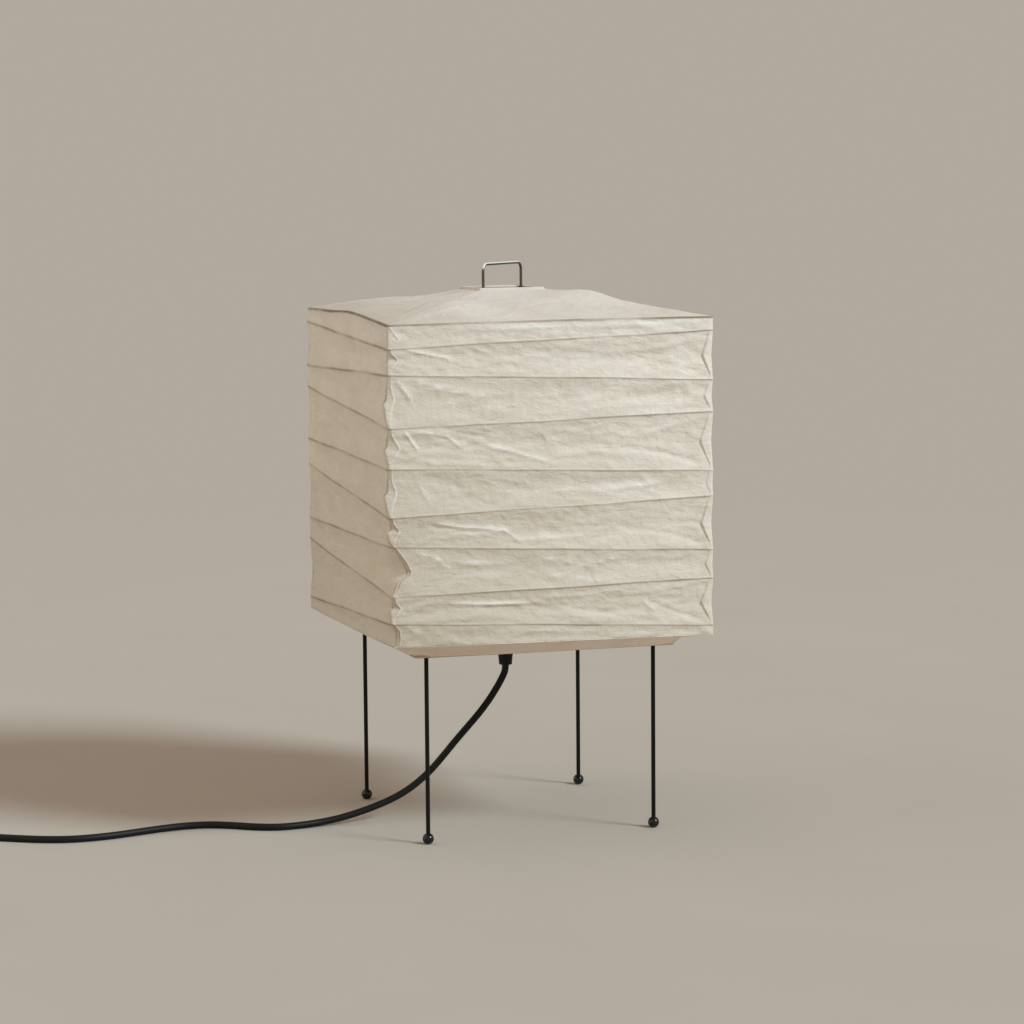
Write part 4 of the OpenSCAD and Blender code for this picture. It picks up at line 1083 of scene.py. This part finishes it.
def ramp(tree, source, stops):
    node = add(tree, "ValToRGB")
    while len(node.color_ramp.elements) < len(stops):
        node.color_ramp.elements.new(0.5)
    for element, (at, colour) in zip(node.color_ramp.elements, stops):
        element.position = at
        element.color = (*colour, 1) if len(colour) == 3 else colour
    feed(node.inputs[0], source)
    return node.outputs[0]


def mixed(tree, share, one, two, kind="MIX"):
    node = add(tree, "Mix", data_type="RGBA", blend_type=kind)
    for i, value in ((0, share), (6, one), (7, two)):
        feed(node.inputs[i], (*value, 1) if isinstance(value, tuple) else value)
    return node.outputs[2]


def maths(tree, how, one, two=0.0):
    node = add(tree, "Math", operation=how)
    feed(node.inputs[0], one)
    feed(node.inputs[1], two)
    return node.outputs[0]


def bumped(tree, height, distance, strength=1.0, **over):
    """A relief, over another one if that is given as Normal."""
    return add(tree, "Bump", Height=height, Strength=strength, Distance=distance, **over).outputs[0]


def blended(tree, share, one, two, out):
    """Shows one shader at share 0 and the other at share 1."""
    node = add(tree, "MixShader")
    for socket, value in zip(node.inputs, (share, one.outputs[0], two.outputs[0])):
        feed(socket, value)
    put(out, Surface=node.outputs[0])


PAPER = (0.955, 0.905, 0.81)
RIB_AND_SHADE_COLOUR = (0.36, 0.27, 0.18)
PAINTED_HIGHLIGHT = (1.0, 0.97, 0.9)
GLOW = (1.0, 0.88, 0.68)
# What a paper's colour is multiplied by in thin and in thick pulp, and where painted shade darkens it
PULP_PALE, PULP_DEEP, SHADE_PAINT_TINT = 1.05, (0.93, 0.91, 0.87), (0.6, 0.55, 0.46)
# Its fibres: dark ones by the same rule, pale ones in a colour, how much they show, and their kinds
# as spots per metre, stretch and colour
FIBRE_DARK, FIBRE_PALE, FIBRE_SHARE = 0.86, (0.86, 0.82, 0.74), 0.3
FIBRES = [(120, (0.18, 0.5, 1.3), None), (150, (0.5, 0.16, 0.9), FIBRE_PALE), (110, (0.9, 0.8, 0.2), None)]
# Depths of the relief in metres, where a negative one is raised, and shares of light let through
RIDGE_DEEP, CRINKLE_DEEP, GRAIN_DEEP = -0.0016, 0.0009, 0.00016
PAPER_ROUGH, PAPER_SHINE = 0.82, 0.25
THROUGH, HEM_THROUGH, INSIDE_THROUGH = 0.24, 0.03, 0.85


def washi(name, colour, stretch=(1, 1, 1), thin=THROUGH):
    """Mulberry paper: cloudy pulp, long fibres, painted shade towards one end and the bottom, a painted highlight on
    crests and creases, a dark line and painted shade at the ribs, and some light through it.
    """
    tree, shader, out = material(name)
    clouds = spots(tree, 28, 5, 0.6, stretch)
    pale = tuple(min(1, c * PULP_PALE) for c in colour)
    deep = tuple(c * w for c, w in zip(colour, PULP_DEEP))
    base = ramp(tree, clouds, [(0.3, deep), (0.5, colour), (0.72, pale)])
    for scale, along, tone in FIBRES:
        fibre = spots(tree, scale, 2, 0.4, along, 2.2)
        line = ramp(tree, fibre, [(0.475, (0, 0, 0)), (0.5, (1, 1, 1)), (0.525, (0, 0, 0))])
        share = maths(tree, "MULTIPLY", line, FIBRE_SHARE)
        base = mixed(tree, share, base, tone or tuple(c * FIBRE_DARK for c in colour))
    # Painted shade towards the left end and the bottom, and the painted highlight on crests and creases
    painted_shade, painted_highlight = (add(tree, "Attribute", attribute_name=n).outputs["Fac"] for n in ("painted_shade", "pale"))
    base = mixed(tree, painted_shade, base, tuple(c * w for c, w in zip(colour, SHADE_PAINT_TINT)))
    # Painted highlight along crests and raised creases, partly the paler paper of a fold
    base = mixed(tree, painted_highlight, base, PAINTED_HIGHLIGHT)
    # Rib lines, partly painted shadow, and the painted shade below the ribs
    rib_and_shade_share = add(tree, "Attribute", attribute_name="rib").outputs["Fac"]
    uneven = add(tree, "MapRange", Value=spots(tree, 22, 3, 0.5), From_Min=0.38, From_Max=0.62,
                 To_Min=0.28, To_Max=0.72)
    rib_and_shade_share = maths(tree, "MULTIPLY", rib_and_shade_share, uneven.outputs[0])
    base = mixed(tree, rib_and_shade_share, base, RIB_AND_SHADE_COLOUR)
    crinkle = spots(tree, 150, 5, 0.6, (1, 1, 1.3), 0.6)
    grain = spots(tree, 1300, 3, 0.6)
    ridge = maths(tree, "SUBTRACT", spots(tree, 55, 3, 0.5, (1, 1, 2.4), 0.4), 0.5)
    ridge = maths(tree, "ABSOLUTE", ridge)
    bump = bumped(tree, ridge, RIDGE_DEEP, 0.8)
    bump = bumped(tree, crinkle, CRINKLE_DEEP, 0.8, Normal=bump)
    bump = bumped(tree, grain, GRAIN_DEEP, 0.5, Normal=bump)
    put(shader, Base_Color=base, Roughness=PAPER_ROUGH, Specular_IOR_Level=PAPER_SHINE, Normal=bump)
    glass = add(tree, "BsdfTranslucent", Color=mixed(tree, 1.0, base, GLOW, "MULTIPLY"), Normal=bump)
    inside = add(tree, "Attribute", attribute_name="inside").outputs["Fac"]
    span = maths(tree, "MULTIPLY", inside, INSIDE_THROUGH - thin)
    blended(tree, maths(tree, "ADD", span, thin), shader, glass, out)


def finish(name, colour, rough, metal=0.0, scale=300, vary=0.12, bump=0.0, stretch=(1, 1, 1),
           specular=0.5, painted_top_highlight=None):
    """A plain material with slightly uneven colour and roughness.

    The last argument, if given, is a painted highlight: the colour where it faces up, where it is no longer metal.
    """
    tree, shader, _ = material(name)
    cloud = spots(tree, scale, 4, 0.55, stretch)
    low, high = (tuple(max(0, c * (1 + k * vary)) for c in colour) for k in (-1, 1))
    base = ramp(tree, cloud, [(0.3, low), (0.7, high)])
    # Painted highlight: lighter and no longer metal where the surface faces up
    if painted_top_highlight:
        way = add(tree, "SeparateXYZ", Vector=add(tree, "NewGeometry").outputs["Normal"])
        rise = add(tree, "MapRange", Value=way.outputs["Z"], From_Min=0.1, From_Max=0.5)
        base = mixed(tree, rise.outputs[0], base, painted_top_highlight)
        metal = maths(tree, "SUBTRACT", 1.0, rise.outputs[0])
    fine = spots(tree, scale * 3, 3, 0.6, stretch)
    span = ramp(tree, fine, [(0.25, (rough * 0.85,) * 3), (0.75, (min(1, rough * 1.18),) * 3)])
    put(shader, Base_Color=base, Metallic=metal, Roughness=span, Specular_IOR_Level=specular)
    if bump:
        put(shader, Normal=bumped(tree, fine, bump, 0.6))


washi("washi", PAPER, (1, 1, 3))
# The roof's copy of the paper is darker than the wall's, as painted shade where the roof faces the light; the hem's
# copy is warmer and lets little light through, so it shows brighter, as painted light on its shaded underside
washi("washi_roof", (0.782, 0.73, 0.655), (1, 1, 2))
washi("washi_hem", (0.96, 0.83, 0.70), thin=HEM_THROUGH)
finish("black_steel", (0.005, 0.0045, 0.004), 0.42, 0.0, 260, 0.2, 0.00002, specular=0.16)
finish("black_gloss", (0.006, 0.006, 0.006), 0.14, 0.0, 200, 0.2, specular=0.4)
finish("screw_steel", (0.56, 0.56, 0.54), 0.34, 1.0, 500, 0.1, 0.00001)
# The handle's wire, with a painted highlight where it faces up
finish("bright_wire", (0.13, 0.12, 0.1), 0.42, 1.0, 420, 0.14, 0.00001, (1, 1, 0.2),
       painted_top_highlight=(0.7, 0.68, 0.63))
finish("brass", (0.62, 0.46, 0.2), 0.3, 1.0, 350, 0.12, 0.00001)
finish("copper", (0.66, 0.4, 0.26), 0.35, 1.0, 900, 0.1, 0.00001)
finish("cord_black", (0.007, 0.0065, 0.0055), 0.5, 0.0, 700, 0.25, 0.00003, specular=0.22)
finish("holder_white", (0.76, 0.74, 0.69), 0.4, 0.0, 150, 0.03, 0.00001)
finish("ceramic_white", (0.8, 0.78, 0.73), 0.6, 0.0, 500, 0.04, 0.00003)
finish("bulb_metal", (0.66, 0.66, 0.65), 0.28, 1.0, 300, 0.08, 0.00001)
finish("bulb_black", (0.03, 0.03, 0.03), 0.2, 0.0, 200, 0.1)
finish("opal_glass", (0.86, 0.86, 0.84), 0.22, 0.0, 120, 0.02)
finish("rim_wire", (0.4, 0.28, 0.18), 0.7, 0.0, 600, 0.2, 0.00004)
finish("plastic_black", (0.012, 0.012, 0.012), 0.42, 0.0, 1500, 0.2, 0.00003, specular=0.35)


def dress():
    """Gives each piece its slot's material."""
    slot_of = {row["node"]: row["material_slot"] for row in frame["record"]["subparts"]}
    for obj in bpy.context.scene.objects:
        if obj.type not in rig.SHOWN_TYPES:
            continue
        slot = obj.get("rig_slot") or slot_of.get(obj.get("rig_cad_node"))
        obj.data.materials.clear()
        obj.data.materials.append(MATERIALS[slot])


dress()


# Floor, background and lights

GROUND = (0.44, 0.397, 0.337)
GROUND_VARY = 0.015
FLOOR_R, FLOOR_SIDES = 9, 96
FLOOR_FADE = (0.7, 2.2)
KEY_AZIMUTH, KEY_HEIGHT, KEY_WIDE = 46, 35, 16
KEY_POWER = 2.74
KEY_COLOUR = (0.82, 1.0, 1.11)
FILL_AZIMUTH, FILL_HEIGHT, FILL_WIDE = 188, 14, 90
FILL_POWER = 0.85
FILL_COLOUR = (0.85, 1.02, 0.96)
SKY = (0.537, 0.432, 0.38)


def seen_share(tree):
    """1 for rays that show a surface to the camera, straight, mirrored or through glass."""
    path = add(tree, "LightPath")
    some = maths(tree, "ADD", path.outputs["Is Camera Ray"], path.outputs["Is Glossy Ray"])
    some = maths(tree, "ADD", some, path.outputs["Is Transmission Ray"])
    return maths(tree, "MINIMUM", some, 1.0)


def floor():
    turn = np.arange(FLOOR_SIDES) * 2 * math.pi / FLOOR_SIDES
    ring = [(FLOOR_R * math.cos(t), FLOOR_R * math.sin(t), 0) for t in turn]
    mesh = bpy.data.meshes.new("floor")
    mesh.from_pydata(ring, [], [list(range(FLOOR_SIDES))])
    obj = placed("floor", mesh)
    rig.stage(obj)
    tree, shader, out = material("floor")
    cloud = spots(tree, 6, 3, 0.5)
    low, high = (tuple(c * (1 + k * GROUND_VARY) for c in GROUND) for k in (-1, 1))
    colour = ramp(tree, cloud, [(0.3, low), (0.7, high)])
    put(shader, Base_Color=colour, Roughness=0.9, Specular_IOR_Level=0.1)
    plain = add(tree, "Emission", Color=(*GROUND, 1))
    where = add(tree, "NewGeometry").outputs["Position"]
    length = add(tree, "VectorMath", operation="LENGTH", Vector=where).outputs["Value"]
    far = add(tree, "MapRange", interpolation_type="SMOOTHSTEP", Value=length, From_Min=FLOOR_FADE[0],
              From_Max=FLOOR_FADE[1])
    share = maths(tree, "MULTIPLY", far.outputs[0], seen_share(tree))
    blended(tree, share, shader, plain, out)
    obj.data.materials.append(MATERIALS["floor"])


def world():
    w = bpy.data.worlds.new("world")
    bpy.context.scene.world = w
    w.use_nodes = True
    tree = w.node_tree
    tree.nodes.clear()
    sky = add(tree, "Background", Color=(*SKY, 1))
    back = add(tree, "Background", Color=(*GROUND, 1))
    blended(tree, seen_share(tree), sky, back, add(tree, "OutputWorld"))


def far_light(name, azimuth, height, wide, power, colour):
    """A soft light from far off, with its azimuth from +X towards -Y."""
    turn, rise = math.radians(azimuth), math.radians(height)
    way = Vector((math.cos(rise) * math.cos(turn), -math.cos(rise) * math.sin(turn), math.sin(rise)))
    data = bpy.data.lights.new(name, "SUN")
    data.angle = math.radians(wide)
    data.energy = power
    data.color = colour
    obj = placed(name, data)
    obj.rotation_mode = "QUATERNION"
    obj.rotation_quaternion = way.to_track_quat("Z", "Y")


floor()
world()
far_light("key", KEY_AZIMUTH, KEY_HEIGHT, KEY_WIDE, KEY_POWER, KEY_COLOUR)
far_light("fill", FILL_AZIMUTH, FILL_HEIGHT, FILL_WIDE, FILL_POWER, FILL_COLOUR)
bpy.context.scene.view_settings.view_transform = "Standard"

lo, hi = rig.bounds()
with open("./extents.json", "w") as f:
    json.dump({"cad": [list(cad_lo), list(cad_hi)], "visual": [list(lo), list(hi)]}, f)
